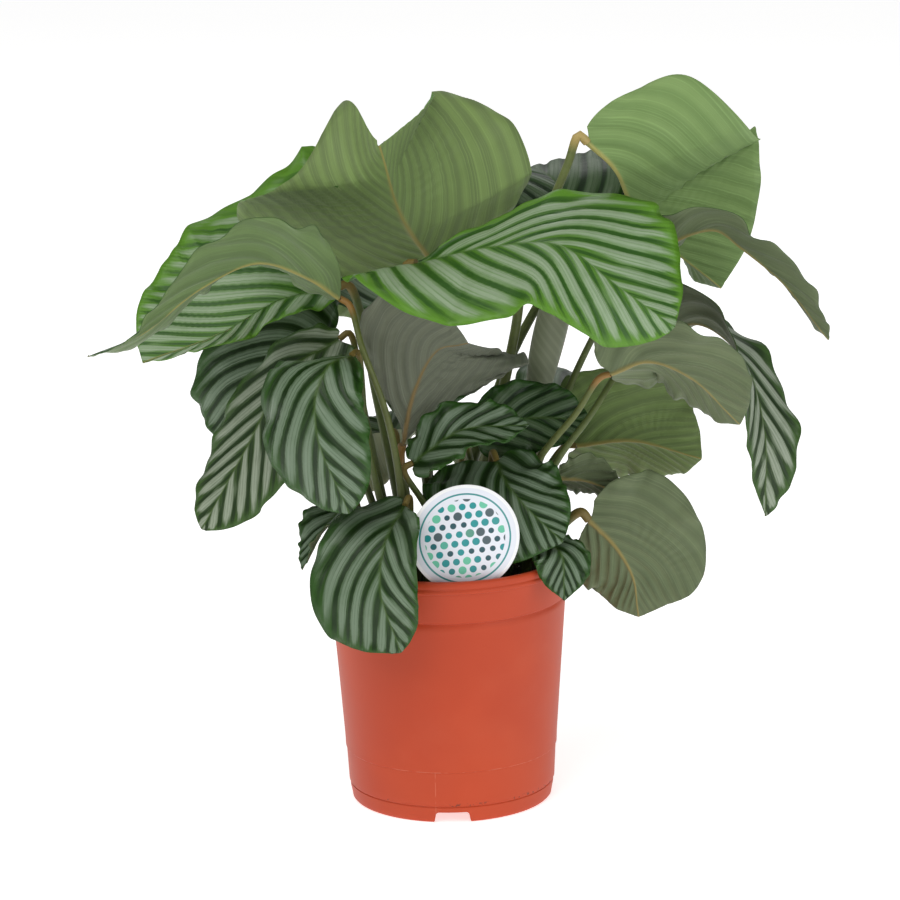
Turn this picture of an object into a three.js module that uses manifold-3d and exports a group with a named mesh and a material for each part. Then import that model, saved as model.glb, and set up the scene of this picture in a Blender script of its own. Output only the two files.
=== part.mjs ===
// Potted calathea: broad striped leaves on slim stems, standing in soil in a tapered
// nursery pot, with a round plant label at the front. Millimetres, +Z up, front is -Y.
import * as THREE from 'three';
import { mergeVertices } from 'three/addons/utils/BufferGeometryUtils.js';
import Module from 'manifold-3d';

const wasm = await Module();
wasm.setup();

// ---- pot ----
const POT_HEIGHT = 193;
const RIM_RADIUS = 95;
const WALL_TOP_RADIUS = 91.5;
const FOOT_RADIUS = 76.5;
const WALL = 2;
const RIM_DROP = 9.5;
const STEP_HEIGHT = 159;
const FLOOR_HEIGHT = 12;
const FLOOR_THICK = 2.5;
const PAD_RADIUS = 9;
const NOTCH_COUNT = 4;
const NOTCH_WIDTH = 27;
const NOTCH_HEIGHT = 11.2;
const DRAIN_COUNT = 6;
const DRAIN_RADIUS = 5;
const DRAIN_REACH = 46;
const POT_SIDES = 48;

// ---- soil and label ----
const SOIL_LEVEL = 177;
const SOIL_RINGS = 7;
const SOIL_SIDES = 36;
const GAP = 0.25;
const ROOT_DEPTH = 24;
const LABEL_RADIUS = 41;
const LABEL_THICK = 0.9;
const LABEL_CENTRE_Z = 224;
const LABEL_REACH = 83.6;
const LABEL_YAW = 9;
const LABEL_ROLL = 4;
const STAKE_WIDTH = 14;

// ---- leaves ----
const BLADE_THICK = 0.8;
const BLADE_ROWS = 12;
const TIP_LENGTH = 7;
const RIDGE_DEPTH = 1.7;
const RIDGE_SHARE = 0.06;
const WIDE_HALF = 65;
const STEM_SIDES = 6;
const STEM_STEPS = 7;
const STEM_FOOT_RADIUS = 4.2;
const STEM_TOP_RADIUS = 2.7;
const SLIM_STEM = 0.72;
const STEM_NECK = 9;
const STEM_GAP = 0.6;
const SLIVER = 0.06;
const HOLE_RADIUS = 5;
const SPEAR_ROOT = [29, 3];
const SPEAR_PATH = [[62, 46, 266], [76, 54, 325], [90, 56, 382], [100, 62, 432]];
const SPEAR_STEPS = 14;
const SPEAR_SIDES = 8;
const SPEAR_RADIUS = 11;
const SPEAR_TIP_RADIUS = 0.6;

const COLOURS = {
  pot: [0xb9502f, 0.42],
  soil: [0x2e2118, 0.95],
  label: [0xe6eaee, 0.45],
  lit: [0x6f9a4e, 0.38],
  deep: [0x3d6434, 0.36],
  under: [0x66804c, 0.55],
  pale: [0x86a468, 0.5],
  stem: [0x55602a, 0.5],
  warm: [0x9a7340, 0.5],
  young: [0x7d9468, 0.45],
};

// One entry a leaf, with its two halves in order where there are pairs. rib: midrib from the
// stem to the tip. face: the way the upper surface looks, from the stem end to the tip.
// half: widths. fold: how far each half rises from flat, from its stem end to its tip.
// curl: how far each rolls on towards its margin. lobe: how far each reaches back past the
// stem. skew: under 1 the widest part is near the stem, over 1 near the tip. taper: how far
// each half draws in towards its ends. wave: height, count and phase of the margin's waves.
// crest: the half that has one high wave in its margin, where it is, its width and height.
const LEAVES = [
  { name: 'leaf_top', look: 'under', stem: 'warm', root: [-12, 10], via: [[-14, 36, 300]],
    rib: [[-9, 40, 408], [-30, 0, 451], [-43, -44, 509]],
    face: [[-0.15, 0.9, 0.4], [0.05, 0.8, 0.6]],
    half: [109, 134], fold: [[5, 5, 37, 67, 52], [13, 12, 8, 2, -11, -6]], curl: [5, 26],
    lobe: [14, 15], skew: [1, 0.85], taper: [1, 1.31], wave: [3, 2.5, 0.5],
    crest: [1, 0.88, 0.07, 58] },
  { name: 'leaf_back_left', look: 'lit', stem: 'stem', root: [-30, 18], via: [[-50, 56, 290]],
    rib: [[-80, 59, 383], [-122, 53, 376], [-172, 47, 350], [-221, 40, 334]],
    face: [[-0.1, -0.65, 0.75], [-0.3, -0.7, 0.65]],
    half: [16, 122], fold: [[-10, -80, -110], [8, -6, 0, 2, 6]], curl: [0, 3],
    lobe: [4, 24], skew: [0.9, 0.42], taper: [0.8, 0.54], wave: [4, 3, 1.0] },
  { name: 'leaf_left', look: 'pale', stem: 'warm', root: [-31, -47],
    via: [[-35, -54, 265], [-44, -62, 317], [-60, -64, 366]],
    rib: [[-76, -48, 400], [-98, -54, 417], [-135, -60, 431], [-177, -75, 416],
      [-222, -80, 383], [-255, -80, 370]],
    face: [[0, 0.35, 0.93], [-0.4, 0.5, 0.75]],
    half: [62, 56], fold: [[19, 17, 15, -4, -34], [10, 10]], curl: [5, 5], lobe: [-30, 4],
    skew: [0.53, 0.8], taper: [1.5, 0.8], wave: [3, 3, 0] },
  { name: 'leaf_front', look: 'lit', stem: 'stem', root: [-6, -20], via: [[-20, -14, 300]],
    rib: [[-19, -21, 419], [33, -55, 438], [86, -75, 443], [126, -83, 415], [164, -84, 386]],
    face: [[-0.35, -0.55, 0.75], [0.3, -0.55, 0.75]],
    half: [84, 80], fold: [[8, -20, -16, 2, 12], [52, 6, 6, -4, -50]], curl: [-4, -8],
    lobe: [-14, 25], skew: [1.41, 0.5], taper: [0.98, 0.69], wave: [4, 3, 0.6] },
  { name: 'leaf_centre', look: 'under', stem: 'warm', root: [-24, -36], via: [[-30, -32, 240]],
    rib: [[-32, -30, 283], [-22, -36, 326], [-4, -46, 359], [12, -52, 364]],
    face: [[-0.1, 0.95, 0.3], [-0.1, 0.7, 0.7]],
    half: [110, 62], fold: [[12, 18, 18, 14, 18], [10, 24]], curl: [16, 10], lobe: [-31, -18],
    skew: [1.9, 2.1], taper: [0.5, 0.7], wave: [3, 3, 0] },
  { name: 'leaf_inner_left', look: 'deep', stem: 'stem', root: [-38, -34],
    via: [[-58, -50, 290]],
    rib: [[-68, -62, 360], [-84, -90, 360], [-94, -105, 341], [-93, -115, 310],
      [-74, -115, 260]],
    face: [[-0.1, -0.3, 0.9], [-0.35, -0.9, 0.2], [-0.1, -0.95, 0]],
    half: [38, 58], fold: [[-5, -5], [-10, -20]], curl: [-20, -20], lobe: [-6, 8],
    skew: [1.1, 0.9], taper: [0.8, 0.8], wave: [4, 3, 0] },
  { name: 'leaf_outer_left', look: 'deep', stem: 'stem', root: [-40, 2], via: [[-60, -4, 300]],
    rib: [[-78, -8, 359], [-115, -21, 339], [-150, -34, 281], [-180, -40, 229]],
    face: [[-0.3, -0.7, 0.6], [-0.3, -0.85, 0.35]],
    half: [45, 37], fold: [[0, 0], [-10, -10]], curl: [-10, -20], lobe: [8, 8],
    skew: [0.9, 0.9], taper: [0.8, 0.8], wave: [4, 3, 2] },
  { name: 'leaf_far_left', look: 'deep', stem: 'stem', root: [-46, 26],
    via: [[-72, 42, 270]],
    rib: [[-90, 58, 326], [-124, 78, 318], [-154, 88, 288], [-165, 94, 254]],
    face: [[-0.3, -0.7, 0.6], [-0.5, -0.7, 0.4]],
    half: [44, 63], fold: [[5, 5], [5, 5]], curl: [-10, -5], lobe: [8, 8],
    skew: [0.9, 0.75], taper: [0.8, 0.6], wave: [4, 3, 0] },
  { name: 'leaf_rim_front', look: 'deep', stem: 'stem', root: [-16, -52],
    via: [[-26, -58, 215]],
    rib: [[-31, -69, 246], [-46, -102, 227], [-50, -115, 194], [-38, -118, 154]],
    face: [[-0.1, -0.5, 0.85], [-0.15, -0.9, 0.4], [0, -0.98, 0]],
    half: [33, 56], fold: [[28, 16, 8], [0, -5, -5]], curl: [20, -20], lobe: [-12, 12],
    skew: [0.9, 1.2], taper: [0.8, 0.8], wave: [4, 3, 0] },
  { name: 'leaf_rim_left', look: 'deep', stem: 'stem', root: [-48, -26], via: [[-62, -28, 215]],
    rib: [[-76, -30, 236], [-93, -40, 221], [-106, -46, 198]],
    face: [[-0.3, -0.2, 0.9], [-0.8, -0.2, 0.5]],
    half: [22, 22], fold: [[20, 20], [20, 20]], curl: [10, 10], lobe: [2, 2],
    skew: [0.9, 0.9], taper: [0.8, 0.8], wave: [2, 2, 0] },
  { name: 'leaf_label', look: 'deep', stem: 'stem', root: [28, -18], via: [[32, -18, 230]],
    rib: [[38, -24, 267], [44, -40, 256], [58, -53, 240], [81, -63, 219]],
    face: [[0, -0.7, 0.7], [0.1, -0.8, 0.55]],
    half: [40, 62], fold: [[0, 0], [0, -10]], curl: [-10, -10], lobe: [8, 14],
    skew: [0.9, 0.75], taper: [0.8, 0.8], wave: [3, 3, 0] },
  { name: 'leaf_rim_right', look: 'deep', stem: 'stem', root: [58, -30], via: [[68, -37, 202]],
    rib: [[76, -50, 211], [85, -65, 204], [86, -77, 180]],
    face: [[0.1, -0.5, 0.85], [0.2, -0.95, 0.1]],
    half: [22, 22], fold: [[0, 0], [0, 0]], curl: [-10, -10], lobe: [4, 4],
    skew: [0.9, 0.9], taper: [0.8, 0.8], wave: [2, 2, 0] },
  { name: 'leaf_heart_low', look: 'deep', stem: 'stem', root: [-3, -35], via: [[-15, -42, 236]],
    rib: [[-24, -50, 274], [12, -57, 300], [55, -65, 305]],
    face: [[0, -0.6, 0.8], [0.1, -0.6, 0.8]],
    half: [24, 28], fold: [[10, 10], [10, 10]], curl: [10, 10], lobe: [4, 4],
    skew: [0.9, 0.9], taper: [0.8, 0.8], wave: [3, 3, 0] },
  { name: 'leaf_heart', look: 'deep', stem: 'stem', root: [18, 14], via: [[22, 9, 240]],
    rib: [[26, 2, 281], [62, 4, 292], [103, 6, 290]],
    face: [[0, -0.85, 0.5], [0.1, -0.85, 0.5]],
    half: [30, 28], fold: [[0, 0], [0, 0]], curl: [10, 10], lobe: [6, 6],
    skew: [0.9, 0.9], taper: [0.8, 0.8], wave: [4, 3, 0] },
  { name: 'leaf_top_right', look: 'pale', stem: 'young', root: [18, 32],
    via: [[54, 56, 345], [62, 44, 394], [95, 22, 482]],
    rib: [[110, 20, 499], [130, 25, 478], [149, 45, 434], [206, 60, 381]],
    face: [[0.55, 0.5, 0.65], [0.65, 0.6, 0.4]],
    half: [74, 112], fold: [[58, 56, 55, 50, 12], [64, 50, 60, 47, 40]], curl: [0, 5],
    lobe: [-10, 15], skew: [0.9, 1.03], taper: [0.8, 1.05], wave: [3, 3, 0] },
  { name: 'leaf_right_arch', look: 'under', stem: 'stem', root: [46, 14],
    via: [[82, 46, 275], [112, 34, 345]],
    rib: [[150, 4, 410], [177, -3, 430], [204, -8, 437], [223, -13, 424], [254, -22, 398],
      [282, -28, 362]],
    face: [[0.1, 0.3, 0.93], [0.5, 0.35, 0.75]],
    half: [36, 30], fold: [[20, 10], [28, 20]], curl: [0, 0], lobe: [4, 4],
    skew: [0.9, 0.9], taper: [0.8, 0.8], wave: [2, 3, 0] },
  { name: 'leaf_right_hanging', look: 'deep', stem: 'stem', root: [46, -12],
    via: [[84, -12, 264], [107, -8, 294]],
    rib: [[146, 20, 336], [190, 26, 358], [224, 16, 334], [240, 2, 280], [240, -6, 222]],
    face: [[0.1, 0.7, 0.6], [0.6, -0.2, 0.7], [0.6, -0.8, 0.1]],
    half: [43, 54], fold: [[8, 10, 2, 16, 22], [18, 16, 12, 6, 4]], curl: [2, 2], lobe: [5, 2],
    skew: [0.64, 0.56], taper: [0.82, 1.4], wave: [3, 3, 0] },
  { name: 'leaf_right', look: 'under', stem: 'warm', root: [44, -24],
    via: [[66, -14, 258], [98, -28, 304]],
    rib: [[124, -38, 336], [152, -46, 347], [184, -50, 334], [214, -48, 303]],
    face: [[0.2, 0.6, 0.75], [0.4, 0.75, 0.5]],
    half: [42, 48], fold: [[10, 10], [20, 10]], curl: [0, 0], lobe: [6, 6],
    skew: [0.9, 0.9], taper: [0.8, 0.8], wave: [3, 3, 0] },
  { name: 'leaf_right_back', look: 'under', stem: 'stem', root: [38, 30], via: [[66, 44, 225]],
    rib: [[100, 54, 257], [143, 50, 261], [188, 46, 249]],
    face: [[0.1, 0.6, 0.8], [0.2, 0.7, 0.7]],
    half: [52, 60], fold: [[-10, -5], [46, 36]], curl: [0, 0], lobe: [12, 24],
    skew: [0.9, 0.9], taper: [0.8, 0.8], wave: [3, 3, 0] },
  { name: 'leaf_right_low', look: 'under', stem: 'stem', root: [58, 4], via: [[84, -4, 208]],
    rib: [[107, -8, 215], [127, -6, 193], [140, -2, 167], [143, 0, 143]],
    face: [[0.05, 1, 0.05], [0.1, 0.98, 0.05]],
    half: [38, 66], fold: [[5, 5], [5, 5]], curl: [0, 0], lobe: [-4, 14],
    skew: [0.95, 0.9], taper: [0.8, 0.8], wave: [3, 3, 0] },
  { name: 'leaf_right_small', look: 'under', stem: 'stem', root: [60, -14],
    via: [[74, 4, 218]],
    rib: [[86, 12, 243], [104, 12, 241], [128, 12, 232]],
    face: [[0, 0.7, 0.7], [0.1, 0.75, 0.65]],
    half: [24, 24], fold: [[10, 10], [20, 20]], curl: [0, 0], lobe: [3, 3],
    skew: [0.9, 0.9], taper: [0.8, 0.8], wave: [2, 2, 0] },
  { name: 'leaf_back_top', look: 'deep', stem: 'stem', root: [2, 44], via: [[50, 74, 320]],
    rib: [[100, 80, 426], [88, 110, 450], [68, 150, 454], [50, 196, 428]],
    face: [[0.1, -0.5, 0.85], [0, 0.1, 1]],
    half: [70, 70], fold: [[5, 5], [5, 5]], curl: [0, 0], lobe: [10, 10],
    skew: [0.9, 0.9], taper: [0.8, 0.8], wave: [3, 3, 0] },
  { name: 'leaf_back', look: 'deep', stem: 'stem', root: [-12, 38], via: [[-18, 78, 290]],
    rib: [[-24, 104, 364], [-36, 138, 384], [-50, 180, 370], [-58, 214, 324]],
    face: [[0, -0.3, 0.95], [-0.1, 0.6, 0.7]],
    half: [78, 80], fold: [[5, 5], [5, 5]], curl: [-10, -10], lobe: [12, 12],
    skew: [0.9, 0.9], taper: [0.8, 0.8], wave: [4, 3, 0] },
  { name: 'leaf_back_right', look: 'deep', stem: 'stem', root: [24, 50], via: [[60, 88, 235]],
    rib: [[84, 108, 280], [110, 138, 290], [146, 164, 264], [164, 176, 216]],
    face: [[0.1, 0.1, 0.95], [0.5, 0.6, 0.4]],
    half: [62, 62], fold: [[5, 5], [5, 5]], curl: [-10, -10], lobe: [8, 8],
    skew: [0.9, 0.9], taper: [0.8, 0.8], wave: [4, 3, 0] },
  { name: 'leaf_back_low', look: 'deep', stem: 'stem', root: [-28, 46], via: [[-36, 74, 220]],
    rib: [[-42, 92, 262], [-56, 120, 266], [-72, 146, 236], [-80, 156, 192]],
    face: [[-0.1, 0.1, 0.95], [-0.3, 0.8, 0.4]],
    half: [54, 54], fold: [[5, 5], [5, 5]], curl: [-10, -10], lobe: [6, 6],
    skew: [0.9, 0.9], taper: [0.8, 0.8], wave: [4, 3, 0] },
  { name: 'leaf_back_mid', look: 'deep', stem: 'stem', root: [10, 54], via: [[11, 74, 220]],
    rib: [[16, 92, 250], [26, 122, 262], [36, 154, 238], [40, 168, 196]],
    face: [[0, 0.1, 0.95], [0.2, 0.8, 0.4]],
    half: [48, 48], fold: [[5, 5], [5, 5]], curl: [-10, -10], lobe: [6, 6],
    skew: [0.9, 0.9], taper: [0.8, 0.8], wave: [3, 3, 1] },
];

const rad = THREE.MathUtils.degToRad;
const vec = (p) => new THREE.Vector3(p[0], p[1], p[2]);

// ---- solids from grids ----
function closedMesh(points, faces) {
  const geometry = new THREE.BufferGeometry();
  const flat = points.flatMap((p) => [p.x, p.y, p.z]);
  geometry.setAttribute('position', new THREE.Float32BufferAttribute(flat, 3));
  geometry.setIndex(faces.flat());
  return geometry;
}

function gridNormals(grid) {
  const lastRow = grid.length - 1;
  const lastCol = grid[0].length - 1;
  return grid.map((row, i) => row.map((_, j) => {
    const along = grid[Math.min(i + 1, lastRow)][j].clone().sub(grid[Math.max(i - 1, 0)][j]);
    const across = row[Math.min(j + 1, lastCol)].clone().sub(row[Math.max(j - 1, 0)]);
    return along.cross(across).normalize();
  }));
}

// A sheet with the given depth below each point of its grid, closed round its edge.
function sheetGeometry(grid, depthAt, grow) {
  const normals = gridNormals(grid);
  const rows = grid.length;
  const cols = grid[0].length;
  const moved = (distanceAt) => grid.map((row, i) => row.map((p, j) => (
    p.clone().addScaledVector(normals[i][j], distanceAt(i, j)))));
  const upper = moved(() => grow);
  const lower = moved((i, j) => -depthAt(i, j) - grow);
  const points = [...upper.flat(), ...lower.flat()];
  const shift = rows * cols;
  const at = (i, j) => i * cols + j;
  const faces = [];
  for (let i = 0; i < rows - 1; i += 1) {
    for (let j = 0; j < cols - 1; j += 1) {
      const [a, b, c, d] = [at(i, j), at(i + 1, j), at(i + 1, j + 1), at(i, j + 1)];
      faces.push([a, b, c], [a, c, d]);
      faces.push([a + shift, c + shift, b + shift], [a + shift, d + shift, c + shift]);
    }
  }
  const edge = [];
  for (let j = 0; j < cols - 1; j += 1) edge.push([at(0, j + 1), at(0, j)]);
  for (let i = 0; i < rows - 1; i += 1) edge.push([at(i, 0), at(i + 1, 0)]);
  for (let j = 0; j < cols - 1; j += 1) edge.push([at(rows - 1, j), at(rows - 1, j + 1)]);
  for (let i = 0; i < rows - 1; i += 1) edge.push([at(i + 1, cols - 1), at(i, cols - 1)]);
  edge.forEach(([a, b]) => faces.push([b, a, a + shift], [b, a + shift, b + shift]));
  return closedMesh(points, faces);
}

// A solid swept along a curve, round in section, with its own radius at each step.
function sweepGeometry(curve, steps, sides, radiusAt) {
  const frames = curve.computeFrenetFrames(steps, false);
  const points = [];
  for (let i = 0; i <= steps; i += 1) {
    const centre = curve.getPointAt(i / steps);
    for (let k = 0; k < sides; k += 1) {
      const turn = (2 * Math.PI * k) / sides;
      points.push(centre.clone()
        .addScaledVector(frames.normals[i], Math.cos(turn) * radiusAt(i / steps))
        .addScaledVector(frames.binormals[i], Math.sin(turn) * radiusAt(i / steps)));
    }
  }
  const faces = [];
  for (let i = 0; i < steps; i += 1) {
    for (let k = 0; k < sides; k += 1) {
      const a = i * sides + k;
      const b = i * sides + ((k + 1) % sides);
      faces.push([a, b, b + sides], [a, b + sides, a + sides]);
    }
  }
  points.push(curve.getPointAt(0), curve.getPointAt(1));
  const foot = points.length - 2;
  for (let k = 0; k < sides; k += 1) {
    faces.push([foot, (k + 1) % sides, k]);
    faces.push([foot + 1, steps * sides + k, steps * sides + ((k + 1) % sides)]);
  }
  return closedMesh(points, faces);
}

// ---- booleans ----
function toSolid(geometry) {
  const bare = geometry.clone();
  bare.deleteAttribute('normal');
  bare.deleteAttribute('uv');
  const merged = mergeVertices(bare, 1e-4);
  return new wasm.Manifold(new wasm.Mesh({
    numProp: 3,
    vertProperties: new Float32Array(merged.attributes.position.array),
    triVerts: new Uint32Array(merged.index.array),
  }));
}

function toGeometry(solid) {
  const mesh = solid.getMesh();
  const geometry = new THREE.BufferGeometry();
  geometry.setAttribute('position', new THREE.Float32BufferAttribute(mesh.vertProperties, 3));
  geometry.setIndex(new THREE.Uint32BufferAttribute(mesh.triVerts, 1));
  return geometry;
}

// ---- leaf ----
function blend(list, share, mix) {
  const spot = share * (list.length - 1);
  const k = Math.min(Math.floor(spot), list.length - 2);
  return mix(list[k], list[k + 1], spot - k);
}

function ribFrame(leaf, curve, x) {
  const length = curve.getLength();
  const share = THREE.MathUtils.clamp(x / length, 0, 1);
  const point = curve.getPointAt(share);
  const tangent = curve.getTangentAt(share);
  point.addScaledVector(tangent, x - share * length);
  const up = blend(leaf.face, share, (a, b, k) => vec(a).normalize().lerp(vec(b).normalize(), k));
  up.addScaledVector(tangent, -up.dot(tangent)).normalize();
  return { point, up, side: up.clone().cross(tangent), share };
}

// How far the one crest in a leaf's margin rises, if the leaf has one.
function crestRise(leaf, side, t, out) {
  if (!leaf.crest || leaf.crest[0] !== side) return 0;
  const [, where, width, height] = leaf.crest;
  return height * out ** 3 * Math.exp(-(((t - where) / width) ** 2));
}

// How far out and up a point lies when the half is folded and rolled on towards its margin.
function crossSection(reach, half, fold, curl) {
  if (Math.abs(curl) < 0.01) return [reach * Math.cos(fold), reach * Math.sin(fold)];
  const turn = curl / half;
  const end = fold + turn * reach;
  return [(Math.sin(end) - Math.sin(fold)) / turn, (Math.cos(fold) - Math.cos(end)) / turn];
}

// Rows follow the veins: each leaves the midrib and bows forward to the margin.
function bladeGrid(leaf, rows, shares, grow) {
  const curve = new THREE.CatmullRomCurve3(leaf.rib.map(vec), false, 'centripetal');
  const length = curve.getLength();
  const grid = [];
  for (let i = 0; i <= rows; i += 1) {
    const t = THREE.MathUtils.lerp(0.03, 0.985, i / rows);
    const bulges = leaf.skew.map((q, k) => Math.sin(Math.PI * t ** q) ** leaf.taper[k]);
    const back = 4 * Math.sqrt(t) * (1 - t) ** 3;
    const forward = length * (0.5 - 0.5 * Math.cos(Math.PI * t)) + TIP_LENGTH * t ** 12;
    const tip = (0.07 * length + TIP_LENGTH) * (i / rows) ** 8;
    const startX = 0.93 * length * (i / rows) ** 1.1 + tip - grow;
    grid.push(shares.map((v) => {
      const out = Math.abs(v);
      const side = v > 0 ? 0 : 1;
      const reachX = forward - leaf.lobe[side] * back;
      const frame = ribFrame(leaf, curve, startX + (reachX - startX) * out ** 1.5);
      const fold = rad(blend(leaf.fold[side], frame.share, THREE.MathUtils.lerp));
      const reach = leaf.half[side] * bulges[side] * out;
      const [y, z] = crossSection(reach, leaf.half[side], fold, rad(leaf.curl[side]));
      const [height, count, phase] = leaf.wave;
      const ripple = height * out * out * bulges[side]
        * Math.sin(2 * Math.PI * count * t + phase + 1.9 * side);
      return frame.point.clone()
        .addScaledVector(frame.side, Math.sign(v) * y)
        .addScaledVector(frame.up, z + ripple + crestRise(leaf, side, t, out));
    }));
  }
  return grid;
}

function bladeGeometry(leaf, grow = 0) {
  const wide = Math.max(...leaf.half) > WIDE_HALF;
  const half = wide ? [RIDGE_SHARE, 0.4, 0.72, 1] : [RIDGE_SHARE, 0.55, 1];
  const shares = [...half.map((v) => -v).reverse(), 0, ...half];
  const centre = half.length;
  const grid = bladeGrid(leaf, BLADE_ROWS, shares, grow);
  return sheetGeometry(grid, (i, j) => (
    j === centre ? BLADE_THICK + RIDGE_DEPTH * (1 - i / BLADE_ROWS) : BLADE_THICK), grow);
}

function stemCurve(leaf) {
  const rib = new THREE.CatmullRomCurve3(leaf.rib.map(vec), false, 'centripetal');
  const base = rib.getPointAt(0);
  const ahead = rib.getTangentAt(0);
  const [x, y] = leaf.root;
  return new THREE.CatmullRomCurve3([
    new THREE.Vector3(x, y, SOIL_LEVEL - ROOT_DEPTH),
    new THREE.Vector3(x, y, SOIL_LEVEL + 4),
    new THREE.Vector3(x, y, SOIL_LEVEL + 10),
    ...leaf.via.map(vec),
    base.clone().addScaledVector(ahead, -STEM_NECK),
    base.clone().addScaledVector(ahead, -STEM_GAP),
  ], false, 'centripetal');
}

// The stem ends just short of its blade, and gives way to the lobes that lie round it.
function stemGeometry(leaf) {
  const steps = STEM_STEPS + leaf.via.length;
  const size = Math.max(...leaf.half) > WIDE_HALF ? 1 : SLIM_STEM;
  const stem = sweepGeometry(stemCurve(leaf), steps, STEM_SIDES, (s) => (
    size * THREE.MathUtils.lerp(STEM_FOOT_RADIUS, STEM_TOP_RADIUS, s)));
  const lobes = toSolid(bladeGeometry(leaf, GAP));
  if (toSolid(stem).intersect(lobes).isEmpty()) return stem;
  const pieces = toSolid(stem).subtract(lobes).decompose();
  pieces.sort((a, b) => b.volume() - a.volume());
  return toGeometry(pieces[0].simplify(SLIVER));
}

// ---- young leaf ----
function spearGeometry() {
  const [x, y] = SPEAR_ROOT;
  const curve = new THREE.CatmullRomCurve3([
    new THREE.Vector3(x, y, SOIL_LEVEL - ROOT_DEPTH),
    new THREE.Vector3(x, y, SOIL_LEVEL + 6),
    new THREE.Vector3(x, y, SOIL_LEVEL + 12),
    ...SPEAR_PATH.map(vec),
  ], false, 'centripetal');
  return sweepGeometry(curve, SPEAR_STEPS, SPEAR_SIDES, (s) => {
    const swell = SPEAR_RADIUS * Math.sin(Math.PI * Math.max(0, (s - 0.42) / 0.58) ** 1.1);
    return STEM_FOOT_RADIUS * (1 - s ** 3) + swell + SPEAR_TIP_RADIUS * s;
  });
}

// ---- pot ----
function innerRadius(z) {
  const share = (z - FLOOR_HEIGHT) / (POT_HEIGHT - FLOOR_HEIGHT);
  return THREE.MathUtils.lerp(FOOT_RADIUS, WALL_TOP_RADIUS, share) - WALL;
}

function lathe(outline, sides) {
  const shape = outline.map(([r, z]) => new THREE.Vector2(r, z));
  const geometry = new THREE.LatheGeometry(shape, sides);
  geometry.rotateX(Math.PI / 2);
  return geometry;
}

function potSolid() {
  const top = POT_HEIGHT;
  const outer = (z) => THREE.MathUtils.lerp(FOOT_RADIUS, WALL_TOP_RADIUS, z / top);
  const outline = [
    [0, 0],
    [PAD_RADIUS, 0],
    [PAD_RADIUS, FLOOR_HEIGHT - FLOOR_THICK],
    [FOOT_RADIUS - 6, FLOOR_HEIGHT - FLOOR_THICK],
    [FOOT_RADIUS - 5, 0],
    [FOOT_RADIUS - 2, 0],
    [FOOT_RADIUS, 3],
    [outer(12) - 0.2, 12],
    [outer(14) + 0.7, 14],
    [outer(40), 40],
    [outer(41) + 0.5, 41],
    [outer(STEP_HEIGHT - 2), STEP_HEIGHT - 2],
    [outer(STEP_HEIGHT) - 0.6, STEP_HEIGHT],
    [outer(STEP_HEIGHT + 1) + 0.9, STEP_HEIGHT + 1],
    [outer(top - RIM_DROP) + 0.9, top - RIM_DROP],
    [RIM_RADIUS - 1, top - RIM_DROP],
    [RIM_RADIUS, top - RIM_DROP + 2],
    [RIM_RADIUS - 0.3, top - 2.5],
    [RIM_RADIUS - 1.6, top],
    [innerRadius(top) + 1.2, top],
    [innerRadius(top - 2), top - 2],
    [innerRadius(FLOOR_HEIGHT), FLOOR_HEIGHT],
    [0, FLOOR_HEIGHT],
  ];
  let pot = toSolid(lathe(outline, POT_SIDES));
  for (let k = 0; k < NOTCH_COUNT; k += 1) {
    const notch = new THREE.Shape([
      new THREE.Vector2(-NOTCH_WIDTH / 2 - 2, -2),
      new THREE.Vector2(NOTCH_WIDTH / 2 + 2, -2),
      new THREE.Vector2(NOTCH_WIDTH / 2 - 1, NOTCH_HEIGHT - 3),
      new THREE.Vector2(NOTCH_WIDTH / 2 - 4, NOTCH_HEIGHT - FLOOR_THICK),
      new THREE.Vector2(4 - NOTCH_WIDTH / 2, NOTCH_HEIGHT - FLOOR_THICK),
      new THREE.Vector2(1 - NOTCH_WIDTH / 2, NOTCH_HEIGHT - 3),
    ]);
    const cutter = new THREE.ExtrudeGeometry(notch, { depth: 14, bevelEnabled: false });
    cutter.rotateX(Math.PI / 2);
    cutter.translate(0, 8 - FOOT_RADIUS, 0);
    cutter.rotateZ((2 * Math.PI * k) / NOTCH_COUNT);
    pot = pot.subtract(toSolid(cutter));
  }
  for (let k = 0; k < DRAIN_COUNT; k += 1) {
    const turn = (2 * Math.PI * (k + 0.5)) / DRAIN_COUNT;
    const drill = new THREE.CylinderGeometry(DRAIN_RADIUS, DRAIN_RADIUS, 20, 12);
    drill.rotateX(Math.PI / 2);
    drill.translate(DRAIN_REACH * Math.cos(turn), DRAIN_REACH * Math.sin(turn), FLOOR_HEIGHT);
    pot = pot.subtract(toSolid(drill));
  }
  return pot;
}

// ---- label ----
function labelShape(grow) {
  const radius = LABEL_RADIUS + grow;
  const waist = STAKE_WIDTH / 2 + grow;
  const from = Math.asin(waist / radius);
  const shape = new THREE.Shape();
  const steps = 40;
  for (let k = 0; k <= steps; k += 1) {
    const turn = from + ((2 * Math.PI - 2 * from) * k) / steps;
    shape[k ? 'lineTo' : 'moveTo'](radius * Math.sin(turn), -radius * Math.cos(turn));
  }
  const tip = SOIL_LEVEL - LABEL_CENTRE_Z - ROOT_DEPTH - grow;
  shape.lineTo(-waist, tip + 8);
  shape.lineTo(0, tip);
  shape.lineTo(waist, tip + 8);
  shape.closePath();
  return shape;
}

function labelGeometry(grow = 0) {
  const depth = LABEL_THICK + 2 * grow;
  const geometry = new THREE.ExtrudeGeometry(labelShape(grow), { depth, bevelEnabled: false });
  geometry.translate(0, 0, -depth / 2);
  geometry.rotateZ(rad(LABEL_ROLL));
  geometry.rotateX(Math.PI / 2);
  geometry.translate(0, -LABEL_REACH, LABEL_CENTRE_Z);
  geometry.rotateZ(rad(LABEL_YAW));
  return geometry;
}

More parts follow.
